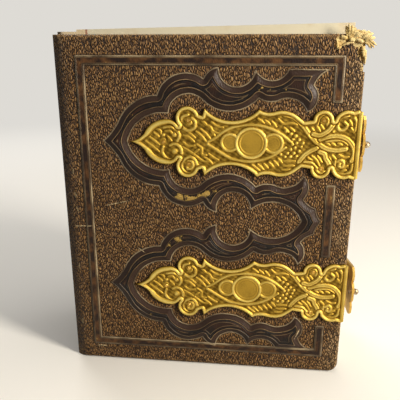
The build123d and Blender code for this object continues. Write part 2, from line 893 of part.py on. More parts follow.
export_step(lower_hasp_knob.part, "parts/lower_hasp_knob.step")
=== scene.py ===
import math

import bpy
import numpy as np
from mathutils import Matrix, Vector


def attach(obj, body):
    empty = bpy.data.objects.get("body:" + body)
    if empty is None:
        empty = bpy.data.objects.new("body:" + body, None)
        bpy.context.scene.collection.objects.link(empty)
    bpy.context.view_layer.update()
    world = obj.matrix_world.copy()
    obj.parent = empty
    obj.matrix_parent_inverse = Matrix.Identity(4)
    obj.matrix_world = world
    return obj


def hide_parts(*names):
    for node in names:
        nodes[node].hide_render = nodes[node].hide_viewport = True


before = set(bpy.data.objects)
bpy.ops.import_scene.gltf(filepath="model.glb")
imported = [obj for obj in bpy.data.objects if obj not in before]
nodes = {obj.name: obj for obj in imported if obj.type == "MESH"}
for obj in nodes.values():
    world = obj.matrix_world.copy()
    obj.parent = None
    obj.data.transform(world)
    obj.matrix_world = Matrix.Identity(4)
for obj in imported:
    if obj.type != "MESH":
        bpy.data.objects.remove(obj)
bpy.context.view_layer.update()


# Card leaves: thick cream card, gilt once and now bare, sewn on guards at the spine. The solid
# of the block stays as it is; its edges show the leaves, a little brown where air got in.
class Tone:
    """A value on its way through a finish. Sums on it add the nodes."""

    def __init__(self, finish, socket):
        self.finish = finish
        self.socket = socket

    def sum(self, operation, first, second=0.0):
        return self.finish.node("ShaderNodeMath", {"operation": operation}, {0: first, 1: second})

    def __add__(self, other):
        return self.sum("ADD", self, other)

    def __radd__(self, other):
        return self.sum("ADD", other, self)

    def __sub__(self, other):
        return self.sum("SUBTRACT", self, other)

    def __rsub__(self, other):
        return self.sum("SUBTRACT", other, self)

    def __mul__(self, other):
        return self.sum("MULTIPLY", self, other)

    def __rmul__(self, other):
        return self.sum("MULTIPLY", other, self)

    def __gt__(self, other):
        return self.sum("GREATER_THAN", self, other)

    def __abs__(self):
        return self.sum("ABSOLUTE", self)

    def __or__(self, other):
        return self.sum("MAXIMUM", self, other)


class Finish:
    """One material of the album, built up from its Principled shader."""

    def __init__(self, name):
        self.material = bpy.data.materials.new(name)
        self.material.use_nodes = True
        self.tree = self.material.node_tree
        self.shader = self.tree.nodes["Principled BSDF"]
        self.place = self.node("ShaderNodeTexCoord", output="Object")

    def node(self, kind, settings=None, inputs=None, output=0):
        made = self.tree.nodes.new(kind)
        for name, value in (settings or {}).items():
            setattr(made, name, value)
        for name, value in (inputs or {}).items():
            self.feed(made.inputs[name], value)
        return Tone(self, made.outputs[output])

    def feed(self, socket, value):
        if isinstance(value, Tone):
            self.tree.links.new(value.socket, socket)
        else:
            socket.default_value = value

    def set(self, **values):
        for name, value in values.items():
            self.feed(self.shader.inputs[name.replace("_", " ")], value)

    def fade(self, value, low, high):
        """0 below low, 1 above high and smooth between them, or the other way round."""
        ends = {"Value": value, "From Min": low, "From Max": high}
        return self.node("ShaderNodeMapRange", {"interpolation_type": "SMOOTHSTEP"}, ends)

    def blend(self, mask, under, over):
        picks = {"Factor": mask, 6: under, 7: over}
        return self.node("ShaderNodeMix", {"data_type": "RGBA"}, picks, 2)

    def cloud(self, size, detail, place=None, roughness=0.5):
        """Soft noise with features of about that size in metres."""
        picks = {
            "Vector": place or self.place,
            "Scale": 1.0 / size,
            "Detail": detail,
            "Roughness": roughness,
        }
        return self.node("ShaderNodeTexNoise", None, picks)

    def turned(self, angles, scale):
        """The piece's own coordinates, turned by degrees and stretched."""
        picks = {
            "Vector": self.place,
            "Rotation": [math.radians(angle) for angle in angles],
            "Scale": scale,
        }
        return self.node("ShaderNodeMapping", None, picks)

    def axis(self, name):
        return self.node("ShaderNodeSeparateXYZ", None, {0: self.place}, name)

    def bump(self, height, distance):
        return self.node("ShaderNodeBump", None, {"Height": height, "Distance": distance})


def colour(red, green, blue):
    """A colour picked in the eye's 0 to 255, as the linear values that a shader takes."""
    shares = [value / 255 for value in (red, green, blue)]
    linear = [s / 12.92 if s <= 0.04045 else ((s + 0.055) / 1.055) ** 2.4 for s in shares]
    return (*linear, 1.0)


def card_finish():
    """Cream card: layers at its edges, stains, and a browner strip with a red line at the guards."""
    guard_x = -0.0529
    layers_per_metre = 2600.0
    card = Finish("leaf_card")
    layers = card.node(
        "ShaderNodeTexNoise",
        {"noise_dimensions": "1D"},
        {"W": card.axis("Y") * layers_per_metre, "Scale": 1.0, "Detail": 2.0},
    )
    stain = card.cloud(0.012, 4.0)
    fibre = card.cloud(0.0009, 3.0)
    tint = card.blend(card.fade(layers, 0.35, 0.65), colour(232, 224, 196), colour(250, 247, 232))
    tint = card.blend(card.fade(stain, 0.52, 0.78) * 0.6, tint, colour(214, 184, 136))
    inner = card.fade(card.axis("X"), guard_x + 0.0005, guard_x - 0.0005)
    tint = card.blend(inner * 0.75, tint, colour(233, 210, 168))
    seam = card.fade(abs(card.axis("X") - guard_x), 0.0007, 0.0002)
    tint = card.blend(seam * 0.8, tint, colour(164, 92, 66))
    card.set(
        Base_Color=tint,
        Roughness=0.72 + fibre * 0.2,
        Normal=card.bump(layers * 0.6 + fibre * 0.4, 0.00012),
    )
    return card.material


nodes["page_block"].material_slots[0].material = card_finish()


# Linings: thin cream endpapers pasted to the inside of each board over the leather's turn-ins.
# The solids stay; only their paper shows when a cover is open.
def lining_finish():
    paper = Finish("lining_paper")
    foxing = paper.cloud(0.006, 5.0)
    age = paper.cloud(0.05, 2.0)
    fibre = paper.cloud(0.0006, 2.0)
    tint = paper.blend(paper.fade(age, 0.3, 0.7), colour(222, 208, 172), colour(208, 189, 148))
    tint = paper.blend(paper.fade(foxing, 0.66, 0.78) * 0.6, tint, colour(152, 104, 58))
    paper.set(Base_Color=tint, Roughness=0.8, Normal=paper.bump(fibre, 0.00004))
    return paper.material


for lining in ("front_lining", "rear_lining"):
    nodes[lining].material_slots[0].material = lining_finish()


# Boards: grey-tan pasteboard in layers, seen only where the leather is worn through. Rubbed
# bare it is frayed into yellow fibres.
def board_finish(name):
    board = Finish(name)
    strands = board.cloud(0.0016, 4.0, board.turned((0, 25, 0), (1.0, 1.0, 2.2)), 0.6)
    patches = board.cloud(0.0035, 3.0)
    tint = board.blend(board.fade(strands, 0.25, 0.6), colour(176, 136, 72), colour(238, 214, 152))
    tint = board.blend(board.fade(patches, 0.45, 0.7) * 0.6, tint, colour(222, 182, 98))
    board.set(
        Base_Color=tint,
        Roughness=0.9,
        Normal=board.bump(strands, 0.0004),
    )
    return board.material


for board in ("front_board", "rear_board"):
    nodes[board].material_slots[0].material = board_finish(board + "_pasteboard")


# Leather of the spine and the rear cover: dark brown sheepskin with a printed morocco grain,
# pebbles under a millimetre wide that lean a little. The rear face has a straight fillet band.
# The band's places are in mm, from the board's middle across and up.
board_centre = -1.3791
board_height = 156.0
fillet_shift = 0.15
fillet_half_width = 56.2
fillet_half_height = 69.8
fillet_width = 4.2
rear_face_y = 25.5
grain_lean = 17
grain_stretch = 0.4
grain_waver = 0.0011
pebbles_per_metre = 1330.0
wavers_per_metre = 520.0


def grain(skin, smooth):
    """Height of the straight grain from 0 in the pits to 1, flattened where smooth is 1."""
    lean = skin.turned((0, grain_lean, 0), (1.0, 1.0, grain_stretch))
    waver = skin.node("ShaderNodeTexNoise", None, {"Vector": lean, "Scale": wavers_per_metre}, "Color")
    shifted = skin.node(
        "ShaderNodeVectorMath",
        {"operation": "MULTIPLY_ADD"},
        {0: waver, 1: (grain_waver, grain_waver, grain_waver), 2: lean},
    )
    pebbles = skin.node(
        "ShaderNodeTexVoronoi",
        {"feature": "DISTANCE_TO_EDGE"},
        {"Vector": shifted, "Scale": pebbles_per_metre},
    )
    fine = skin.cloud(0.0005, 3.0, lean, 0.6)
    wander = skin.cloud(0.007, 3.0)
    top = skin.fade(pebbles + (fine - 0.5) * 0.16, -0.02, 0.36)
    height = (top * 0.85 + fine * 0.25) * (1.0 - smooth * 0.93)
    return height, top, fine, wander


def leather_tints(skin, top, fine, wander):
    """Near-black in the pits of the grain and tan on its tops, as painted shade and painted highlight of
    the grain, and paler tan where the tops are rubbed.
    """
    # Tone by the grain's height: the near-black pits are painted shade and the tan tops are a painted
    # highlight.
    tint = skin.blend(skin.fade(top, 0.0, 0.6), colour(24, 11, 4), colour(146, 103, 54))
    rub = skin.fade(top, 0.4, 1.0) * skin.fade(fine + (wander - 0.5) * 0.5, 0.2, 0.7)
    return skin.blend(rub * 0.5, tint, colour(196, 164, 112))


def plain_leather(name):
    """Grained leather, blocked with one smooth band round the outside of the rear cover."""
    skin = Finish(name)
    across = abs(skin.axis("X") * 1000.0 - (board_centre + fillet_shift)) - fillet_half_width
    up = abs(skin.axis("Z") * 1000.0 - board_height / 2) - fillet_half_height
    inset = 0.0 - (across | up)
    outside = skin.axis("Y") * 1000.0 > rear_face_y
    band = skin.fade(inset, 0.0, 0.15) * skin.fade(inset, fillet_width + 0.15, fillet_width) * outside
    middle = skin.fade(abs(inset - fillet_width / 2), 1.2, 0.8) * band
    height, top, fine, wander = grain(skin, band)
    tint = leather_tints(skin, top, fine, wander)
    tint = skin.blend(band, tint, colour(14, 8, 5))
    tint = skin.blend(middle, tint, colour(84, 40, 24))
    wear = skin.cloud(0.004, 4.0)
    tint = skin.blend(middle * skin.fade(wear, 0.6, 0.72), tint, colour(132, 96, 50))
    skin.set(
        Base_Color=tint,
        Roughness=0.52 - band * 0.12 + fine * 0.12,
        Specular_IOR_Level=0.2,
        Normal=skin.bump(height, 0.0008),
    )
    return skin.material


for hide in ("spine_leather", "rear_leather"):
    nodes[hide].material_slots[0].material = plain_leather(hide)


# Front leather: one skin pasted over the board and turned in. Hot brass dies blocked it with a
# straight fillet border and a raised Gothic moulding round the clasps, smooth and near-black.
# It is a grid pressed to the board's shape in mm, then turned over the board's edges.
board_width = 128.5
clasp_heights = (111.5, 42.5)
clasp_pitch = clasp_heights[0] - clasp_heights[1]
face_y = 26.0
inside_y = 21.4
joint_y = 22.85
joint_reach = 1.5
joint_width = 7.5
joint_dip = 2.8
joint_edge_x = -board_width / 2 + 0.3
left_x = -board_width / 2 - joint_reach
right_x = board_width / 2
corner_radius = 4.5
rim_radius = 1.1
turned_in_shares = (58.3 / 64.25, 72.0 / 78.0)
fillet_height = 0.5
fillet_break_x = 45
fillet_break = 17.5
lip_height = 0.15
bevel_start = 0.4
bevel_run = 2.1
bevel_height = 1.05
groove_depth = 0.12
crown_height = 0.1
skin_columns = 256
skin_rows = 308

# The moulding's upper half, round the clasp from the mirror line and back to it: the point that
# an arc passes and its end, in shares of the board's width and the clasps' pitch. None in place
# of the first makes a straight run.
moulding_table = [
    ((0.383, -0.455), (0.376, -0.414)),
    ((0.352, -0.391), (0.333, -0.352)),
    ((0.349, -0.278), (0.329, -0.199)),
    ((0.313, -0.246), (0.283, -0.274)),
    ((0.263, -0.280), (0.237, -0.267)),
    ((0.206, -0.258), (0.172, -0.280)),
    ((0.087, -0.199), (-0.011, -0.265)),
    ((-0.078, -0.296), (-0.127, -0.180)),
    ((-0.210, -0.151), (-0.269, 0.000)),
    ((-0.210, 0.151), (-0.127, 0.180)),
    ((-0.078, 0.296), (-0.011, 0.265)),
    ((0.087, 0.199), (0.172, 0.280)),
    ((0.206, 0.258), (0.237, 0.267)),
    ((0.263, 0.280), (0.283, 0.274)),
    ((0.313, 0.246), (0.329, 0.199)),
    ((0.360, 0.272), (0.345, 0.357)),
    ((0.361, 0.409), (0.391, 0.446)),
    (None, (0.265, 0.446)),
    ((0.212, 0.381), (0.159, 0.443)),
    ((0.098, 0.342), (0.039, 0.455)),
    ((0.010, 0.433), (-0.009, 0.388)),
    ((-0.093, 0.416), (-0.163, 0.288)),
    ((-0.245, 0.241), (-0.297, 0.125)),
    ((-0.322, 0.055), (-0.353, 0.000)),
    ((-0.322, -0.055), (-0.297, -0.125)),
    ((-0.245, -0.241), (-0.163, -0.288)),
    ((-0.093, -0.416), (-0.009, -0.388)),
    ((0.010, -0.433), (0.039, -0.455)),
    ((0.092, -0.316), (0.156, -0.433)),
    ((0.249, -0.378), (0.332, -0.500)),
]


def arc_points(start, middle, end, step):
    """Points from start to end along the arc through middle, without the start."""
    if middle is None:
        return [end]
    ax, ay = start
    bx, by = middle
    cx, cy = end
    cross = 2 * (ax * (by - cy) + bx * (cy - ay) + cx * (ay - by))
    if abs(cross) < 1e-9:
        return [middle, end]
    sa, sb, sc = ax * ax + ay * ay, bx * bx + by * by, cx * cx + cy * cy
    ox = (sa * (by - cy) + sb * (cy - ay) + sc * (ay - by)) / cross
    oy = (sa * (cx - bx) + sb * (ax - cx) + sc * (bx - ax)) / cross
    radius = math.hypot(ax - ox, ay - oy)
    first = math.atan2(ay - oy, ax - ox)
    turn = (math.atan2(cy - oy, cx - ox) - first) % (2 * math.pi)
    half = (math.atan2(by - oy, bx - ox) - first) % (2 * math.pi)
    if half > turn:
        turn -= 2 * math.pi
    count = max(2, math.ceil(abs(turn) * radius / step))
    angles = [first + turn * k / count for k in range(1, count + 1)]
    return [(ox + radius * math.cos(angle), oy + radius * math.sin(angle)) for angle in angles]


def outline_points(start, table, width, height, lift=0.0, step=0.35):
    """An outline in millimetres from a table of shares of a width and a height."""
    here = (start[0] * width, lift + start[1] * height)
    points = [here]
    for middle, end in table:
        there = (end[0] * width, lift + end[1] * height)
        if middle is not None:
            middle = (middle[0] * width, lift + middle[1] * height)
        points += arc_points(here, middle, there, step)
        here = there
    return points


def from_runs(points, start, run):
    """Way of each point from each run's start, share of the run at its nearest place, and gap."""
    length = np.maximum((run**2).sum(1), 1e-12)
    block = points[:, None, :] - start[None, :, :]
    along = np.clip((block * run).sum(2) / length, 0, 1)
    return block, along, np.sqrt(((block - along[:, :, None] * run) ** 2).sum(2))


def reach_in(points, outline, chunk=4000):
    """Distance of each point from a closed outline, positive inside it."""
    start = np.array(outline, float)
    run = np.roll(start, -1, axis=0) - start
    found = np.empty(len(points))
    for low in range(0, len(points), chunk):
        block, _, gaps = from_runs(points[low : low + chunk], start, run)
        gap = gaps.min(1)
        above = block[:, :, 1] >= 0
        crosses = above != (block[:, :, 1] - run[:, 1] >= 0)
        side = run[:, 0] * block[:, :, 1] - run[:, 1] * block[:, :, 0]
        inside = (crosses & ((side > 0) == (run[:, 1] < 0))).sum(1) % 2 == 1
        found[low : low + chunk] = np.where(inside, gap, -gap)
    return found


def ease(value, low, high):
    """0 at low, 1 at high and smooth between them."""
    share = np.clip((value - low) / (high - low), 0, 1)
    return share * share * (3 - 2 * share)


upper_half = outline_points((0.397, -0.5), moulding_table, board_width, clasp_pitch, clasp_heights[0])
mirror_z = sum(clasp_heights) / 2
moulding_outline = upper_half + [(x, 2 * mirror_z - z) for x, z in reversed(upper_half[1:-1])]

# Where the leather has gone at the corner, in shares of the worn patch's width and height.
worn_width = 13.0
worn_height = 15.0
worn_shares = [
    (-0.92, 0.10), (-1.00, -0.28), (-0.94, -0.44), (-0.74, -0.33), (-0.50, -0.26), (-0.30, -0.36),
    (-0.24, -0.58), (-0.14, -0.72), (-0.11, -1.00), (0.15, -0.98), (0.15, 0.10),
]
worn_outline = [(right_x + x * worn_width, board_height + z * worn_height) for x, z in worn_shares]


def deselect():
    if bpy.context.mode != "OBJECT":
        bpy.ops.object.mode_set(mode="OBJECT")
    bpy.ops.object.select_all(action="DESELECT")


def read_points(mesh):
    points = np.empty(len(mesh.vertices) * 3)
    mesh.vertices.foreach_get("co", points)
    return points.reshape(-1, 3)


def write_points(mesh, points):
    mesh.vertices.foreach_set("co", np.ascontiguousarray(points, float).ravel())
    mesh.update()


def chosen_points(mesh):
    chosen = np.empty(len(mesh.vertices), bool)
    mesh.vertices.foreach_get("select", chosen)
    return chosen


def keep_measure(mesh, name, values):
    """Stores one number for each point, which a finish can read."""
    layer = mesh.attributes.new(name, "FLOAT", "POINT")
    layer.data.foreach_set("value", np.ascontiguousarray(values, np.float32))


def delete_faces(mesh, gone):
    """Deletes the marked faces and stays in edit mode."""
    mesh.edges.foreach_set("select", np.zeros(len(mesh.edges), bool))
    mesh.vertices.foreach_set("select", np.zeros(len(mesh.vertices), bool))
    mesh.polygons.foreach_set("select", gone)
    bpy.ops.object.mode_set(mode="EDIT")
    bpy.ops.mesh.select_mode(type="FACE")
    bpy.ops.mesh.delete(type="FACE")


def select_open_edges():
    bpy.ops.mesh.select_mode(type="EDGE")
    bpy.ops.mesh.select_all(action="DESELECT")
    bpy.ops.mesh.select_non_manifold(extend=False)


def corner_edge(x, z):
    """Moves grid points in at the two round corners and gives their distance from the edge."""
    centre_x = right_x - corner_radius
    low = np.clip(corner_radius - z, 0, None)
    high = np.clip(z - (board_height - corner_radius), 0, None)
    over = np.where(low > 0, -low, high)
    out = np.clip(x - centre_x, 0, None)
    longest = np.maximum(out, np.abs(over))
    length = np.maximum(np.hypot(out, over), 1e-9)
    corner = (out > 0) & (np.abs(over) > 0)
    share = np.where(corner, longest / length, 1.0)
    x = np.where(corner, centre_x + out * share, x)
    z = np.where(corner, z - over + over * share, z)
    edge = np.minimum(np.minimum(right_x - x, z), board_height - z)
    edge = np.where(corner, corner_radius - np.hypot(x - centre_x, over * share), edge)
    return x, z, np.maximum(edge, 0.0)


def border_depth(x, z):
    """Distance inside the straight fillet band, negative outside it and beside the clasps."""
    across = np.abs(x - fillet_shift) - fillet_half_width
    outer = np.maximum(across, np.abs(z - board_height / 2) - fillet_half_height)
    inside = np.minimum(-outer, fillet_width + outer)
    for height in clasp_heights:
        gap = np.abs(z - height) - fillet_break
        inside = np.where(x > fillet_break_x, np.minimum(inside, gap), inside)
    return inside


deselect()
bpy.ops.mesh.primitive_grid_add(x_subdivisions=skin_columns, y_subdivisions=skin_rows, size=1.0)
front_skin = bpy.context.object
front_skin.name = "front_skin"
skin_mesh = front_skin.data
flat = read_points(skin_mesh)
x = left_x + (flat[:, 0] + 0.5) * (right_x - left_x)
z = (flat[:, 1] + 0.5) * board_height
x, z, edge = corner_edge(x, z)
depth = reach_in(np.stack([x, z], 1), moulding_outline)
border = border_depth(x, z)
past_rim = rim_radius - np.minimum(edge, rim_radius)
fall = rim_radius - np.sqrt(np.maximum(rim_radius**2 - past_rim**2, 0))
joint_radius = (joint_width**2 + joint_dip**2) / (2 * joint_dip)
into_joint = np.clip(left_x + joint_width - x, 0, joint_width)
fall = np.maximum(fall, joint_radius - np.sqrt(joint_radius**2 - into_joint**2))
bevel = np.clip((depth - bevel_start) / bevel_run, 0, 1)
lift = lip_height * ease(depth, -0.5, 0.0) + bevel_height * bevel
lift -= groove_depth * ease(depth, 2.7, 3.1) - crown_height * ease(depth, 3.2, 4.2)
lift = np.maximum(lift, fillet_height * ease(border, -0.1, 0.75))
shape = np.stack([x + board_centre, -(face_y - fall + lift), z], 1) / 1000
write_points(skin_mesh, shape)
keep_measure(skin_mesh, "moulding", depth)
keep_measure(skin_mesh, "border", border)


def turn_over(mesh, place):
    """Extrudes the open edge of the skin and puts the new points where place says, in mm."""
    bpy.ops.object.mode_set(mode="EDIT")
    select_open_edges()
    bpy.ops.mesh.extrude_region_move()
    bpy.ops.object.mode_set(mode="OBJECT")
    chosen = chosen_points(mesh)
    points = read_points(mesh) * 1000
    points[:, 0] -= board_centre
    points[chosen] = place(points[chosen])
    points[:, 0] += board_centre
    write_points(mesh, points / 1000)


def down_the_edge(points):
    points[:, 1] = np.where(points[:, 0] < joint_edge_x, -joint_y, -inside_y)
    return points


def under_the_joint(points):
    points[:, 0] = np.maximum(points[:, 0], joint_edge_x)
    return points


def to_the_inside(points):
    points[:, 1] = -inside_y
    return points


def turn_in(points):
    points[:, 0] *= turned_in_shares[0]
    points[:, 2] = board_height / 2 + (points[:, 2] - board_height / 2) * turned_in_shares[1]
    return points


for place in (down_the_edge, under_the_joint, to_the_inside, turn_in):
    turn_over(skin_mesh, place)

bpy.ops.object.mode_set(mode="EDIT")
bpy.ops.mesh.select_all(action="SELECT")
bpy.ops.mesh.remove_doubles(threshold=1e-6)
bpy.ops.mesh.normals_make_consistent(inside=False)
bpy.ops.object.mode_set(mode="OBJECT")

# The worn patch is cut out with a ragged edge, and that edge gets the leather's thickness.
rng = np.random.default_rng(7)
leather_thickness = 0.0008
middles = np.array([face.center for face in skin_mesh.polygons]) * 1000
ragged = reach_in(middles[:, [0, 2]] - [board_centre, 0], worn_outline)
ragged += rng.normal(0, 0.35, len(ragged))
delete_faces(skin_mesh, (ragged > 0) & (middles[:, 1] < -22.4))
select_open_edges()
bpy.ops.object.mode_set(mode="OBJECT")
points = read_points(skin_mesh) * 1000
near_corner = (points[:, 0] > 45) & (points[:, 2] > 138) & (points[:, 1] < -22.0)
ends = np.array([edge.vertices[:] for edge in skin_mesh.edges])
picked = np.empty(len(skin_mesh.edges), bool)
skin_mesh.edges.foreach_get("select", picked)
picked &= near_corner[ends].all(1)
skin_mesh.vertices.foreach_set("select", chosen_points(skin_mesh) & near_corner)
skin_mesh.edges.foreach_set("select", picked)
bpy.ops.object.mode_set(mode="EDIT")
bpy.ops.mesh.extrude_region_move(TRANSFORM_OT_translate={"value": (0, leather_thickness, 0)})
bpy.ops.object.mode_set(mode="OBJECT")
bpy.ops.object.shade_smooth()


def line_at(skin, value, middle, width, soft=0.4):
    """1 on a line of that width where a distance has that value."""
    return skin.fade(abs(value - middle), width * (0.5 + soft), width * 0.5 * (1 - soft))


def scratch(skin, x, z, length, width, turn):
    """A short scuff on the front cover, in mm from the board's middle and from its tail."""
    across = skin.axis("X") * 1000.0 - (x + board_centre)
    up = skin.axis("Z") * 1000.0 - z
    lean = math.radians(turn)
    along = across * math.cos(lean) + up * math.sin(lean)
    beside = up * math.cos(lean) - across * math.sin(lean)
    return skin.fade(abs(along), length / 2, length / 4) * skin.fade(abs(beside), width, width / 4)


def spot(skin, x, z, radius):
    """1 near a place on the front cover's face, in the same measure."""
    place = ((x + board_centre) / 1000, -(face_y + 0.5) / 1000, z / 1000)
    away = skin.node("ShaderNodeVectorMath", {"operation": "DISTANCE"}, {0: skin.place, 1: place}, "Value")
    return skin.fade(away, radius / 1000, radius / 2000)


# Scuffs: place across and up, length, width and turn in degrees. Bare spots: place and radius.
scuff_table = [
    (-60.5, 97, 3, 0.5, 80), (-60, 86, 3.4, 0.5, 95), (-59.6, 79, 3.6, 0.4, 100),
    (-57.5, 71, 10, 0.4, 4), (-41, 82.6, 13, 0.3, 14), (-61, 50, 4, 0.5, 86),
    (-52, 7, 6, 0.5, 2), (-61.5, 20, 4, 0.6, 92), (44, 20, 7, 0.3, 70), (-30, 60, 5, 0.25, -30),
]
flake_table = [(-8, 87.4, 9), (3.4, 86.5, 7), (-14, 66.5, 7)]


def any_of(marks):
    """The strongest of several marks."""
    found = marks[0]
    for mark in marks[1:]:
        found = found | mark
    return found


def blocked_leather():
    """Grained skin with smooth near-black blocking, from the distances kept on the points."""
    skin = Finish("blocked_leather")
    depth = skin.node("ShaderNodeAttribute", {"attribute_name": "moulding"}, None, "Fac")
    border = skin.node("ShaderNodeAttribute", {"attribute_name": "border"}, None, "Fac")
    jitter = (skin.cloud(0.0025, 3.0) - 0.5) * 0.4
    broken = skin.cloud(0.004, 4.0)
    depth = depth + jitter
    border = border + jitter * 0.6
    blocked = skin.fade(depth, -0.45, -0.1) | skin.fade(border, -0.3, 0.0)
    height, top, fine, wander = grain(skin, blocked)
    tint = leather_tints(skin, top, fine, wander)
    tint = skin.blend(blocked, tint, colour(50, 32, 21))

    field = skin.fade(depth, 2.85, 3.05)
    brown = skin.blend(skin.fade(wander, 0.4, 0.68), colour(14, 7, 4), colour(52, 29, 16))
    tint = skin.blend(field, tint, brown)
    band = skin.fade(border, 0.95, 1.15)
    dusty = skin.blend(skin.fade(broken, 0.4, 0.7), colour(34, 18, 9), colour(104, 70, 40))
    tint = skin.blend(band, tint, dusty)

    # Light lines on the lips and crests of the blocking: partly rubbed wear, partly a painted highlight
    # along the raised edges. rub only varies their strength.
    rub = 0.15 + skin.fade(skin.cloud(0.011, 3.0), 0.35, 0.65) * 0.5
    lip_highlight_and_wear = line_at(skin, depth, 0.0, 0.42) | line_at(skin, border, 0.35, 0.5)
    tint = skin.blend(lip_highlight_and_wear * rub, tint, colour(206, 184, 146))
    crest = line_at(skin, depth, 2.55, 0.26) | line_at(skin, depth, 4.1, 0.24) * 0.5
    crest = crest | line_at(skin, border, 0.95, 0.28) * 0.6
    tint = skin.blend(crest * rub, tint, colour(184, 152, 106))
    # Near-black line in the groove by the flat top: painted shade in the recess.
    groove = line_at(skin, depth, 3.05, 0.34)
    tint = skin.blend(groove, tint, colour(10, 6, 4))

    worn = any_of([spot(skin, *row) for row in flake_table])
    flakes = skin.fade(broken + (fine - 0.5) * 0.3 + worn * 0.24, 0.7, 0.78) * (field | band * 0.7)
    tint = skin.blend(flakes * 0.9, tint, colour(210, 172, 92))

    scuffs = any_of([scratch(skin, *row) for row in scuff_table])
    tint = skin.blend(scuffs * skin.fade(fine, 0.35, 0.6), tint, colour(236, 212, 164))

    edge_wear = skin.cloud(0.0016, 4.0)
    fore_edge = skin.fade(skin.axis("X"), 0.0612, 0.0626)
    head_and_tail = skin.fade(abs(skin.axis("Z") * 1000.0 - board_height / 2), 76.2, 77.8)
    spine_corners = spot(skin, -66, 156, 7) | spot(skin, -66, 2, 5)
    rim = (fore_edge | head_and_tail) * 0.6 | spine_corners
    tint = skin.blend(rim * skin.fade(edge_wear, 0.44, 0.6), tint, colour(198, 158, 104))
    dry = skin.fade(skin.axis("X"), 0.05, 0.062) * skin.fade(skin.cloud(0.009, 3.0), 0.3, 0.6)
    tint = skin.blend(dry * (1.0 - blocked) * top * 0.5, tint, colour(206, 178, 136))

    skin.set(
        Base_Color=tint,
        Roughness=0.5 - blocked * 0.16 + fine * 0.1,
        Specular_IOR_Level=0.26,
        Normal=skin.bump(height + lip_highlight_and_wear * 0.4 + crest * 0.3 - groove * 0.3, 0.0008),
    )
    return skin.material


front_skin.data.materials.clear()
front_skin.data.materials.append(blocked_leather())
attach(front_skin, "front_cover")
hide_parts("front_leather")


# Worn corner: rubbed through, the leather and the board's layers have torn into limp yellow
# strips, some curled along the top edge and some hanging over the side, with loose threads.
# Places are in mm from the sharp corner: where a strip grows from, where it ends, how wide.
strip_root_y = -25.3
strip_tip_y = -25.4
strip_front_y = -27.1
strip_steps = 9
strip_sides = 8
shred_thickness = 0.5
thread_thickness = 0.22
thread_width = 0.25
thread_count = 46
torn_strips = [
    (-8.2, -1.2, -9.0, 3.2, 1.3), (-7.4, -0.8, -7.9, 3.9, 1.2), (-6.6, -0.6, -6.7, 3.3, 1.5),
    (-5.8, -0.8, -5.2, 2.5, 1.4), (-8.0, -1.4, -3.2, 1.3, 2.0), (-6.2, -1.6, -1.2, 1.1, 2.3),
    (-4.6, -1.8, 0.6, 0.9, 2.2), (-3.2, -2.0, 1.9, 0.2, 2.2), (-2.2, -2.2, 2.7, -1.5, 2.0),
    (-1.8, -1.6, 3.5, -4.4, 1.2), (-1.6, -2.2, 2.7, -5.2, 1.1), (-1.4, -2.8, 1.8, -5.4, 1.2),
    (-0.9, -3.4, 1.1, -5.0, 1.2), (-5.4, -3.2, -10.6, -4.9, 1.1), (-9.8, -4.7, -12.4, -6.3, 1.0),
    (-11.6, -6.0, -12.4, -1.8, 0.9), (-5.6, -2.4, -1.4, -3.4, 1.6), (-1.6, -4.6, -1.2, -9.0, 1.5),
    (-0.8, -6.0, -0.5, -12.0, 1.2), (-7.8, -2.0, -4.6, -2.6, 1.8), (-10.6, -1.2, -7.6, -1.8, 1.5),
]


def strip_object(name, strips, thickness):
    """Limp tapered strips that bulge forward and droop at their tips, each one closed."""
    corners, faces = [], []
    for root_x, root_z, tip_x, tip_z, width in strips:
        root = np.array([right_x + root_x, strip_root_y, board_height + root_z])
        tip = np.array([right_x + tip_x, strip_tip_y + rng.uniform(-0.3, 0.5), board_height + tip_z])
        bulge = [rng.uniform(-0.3, 0.3), -rng.uniform(0.6, 1.5), rng.uniform(0.2, 0.8)]
        bend = (root + tip) / 2 + bulge
        across = np.cross(tip - root, [0, 1, 0])
        across /= np.linalg.norm(across)
        base = len(corners)
        for step in range(strip_steps + 1):
            t = step / strip_steps
            middle = root * (1 - t) ** 2 + bend * 2 * t * (1 - t) + tip * t**2
            narrow = math.sqrt(max(1 - t**3, 0.03)) * rng.uniform(0.82, 1.15)
            for side in range(strip_sides):
                turn = 2 * math.pi * side / strip_sides
                wide = across * math.cos(turn) * width / 2
                deep = np.array([0, math.sin(turn) * thickness / 2, 0])
                corners.append(middle + (wide + deep) * narrow)
        last = base + strip_sides * strip_steps
        faces.append(tuple(base + side for side in range(strip_sides)))
        faces.append(tuple(last + side for side in reversed(range(strip_sides))))
        for step in range(strip_steps):
            low = base + strip_sides * step
            high = low + strip_sides
            for side in range(strip_sides):
                beside = (side + 1) % strip_sides
                faces.append((low + beside, low + side, high + side, high + beside))
    corners = np.array(corners)
    corners[:, 0] += board_centre
    corners[:, 1] = np.clip(corners[:, 1], strip_front_y, None)
    made = bpy.data.meshes.new(name)
    made.from_pydata((corners / 1000).tolist(), [], faces)
    made.update()
    piece = bpy.data.objects.new(name, made)
    bpy.context.scene.collection.objects.link(piece)
    deselect()
    piece.select_set(True)
    bpy.context.view_layer.objects.active = piece
    bpy.ops.object.mode_set(mode="EDIT")
    bpy.ops.mesh.select_all(action="SELECT")
    bpy.ops.mesh.normals_make_consistent(inside=False)
    bpy.ops.object.mode_set(mode="OBJECT")
    bpy.ops.object.shade_smooth()
    made.materials.append(board_finish(name))
    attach(piece, "front_cover")


threads = []
for _ in range(thread_count):
    grown = torn_strips[rng.integers(0, 13)]
    along = rng.uniform(0.2, 0.8)
    start_x = grown[0] * (1 - along) + grown[2] * along
    start_z = grown[1] * (1 - along) + grown[3] * along
    end_x = start_x + rng.uniform(-0.8, 1.8)
    end_z = start_z + rng.uniform(-1.8, 1.2)
    threads.append((start_x, start_z, end_x, end_z, thread_width))
strip_object("corner_shreds", torn_strips, shred_thickness)
strip_object("corner_fibres", threads, thread_thickness)


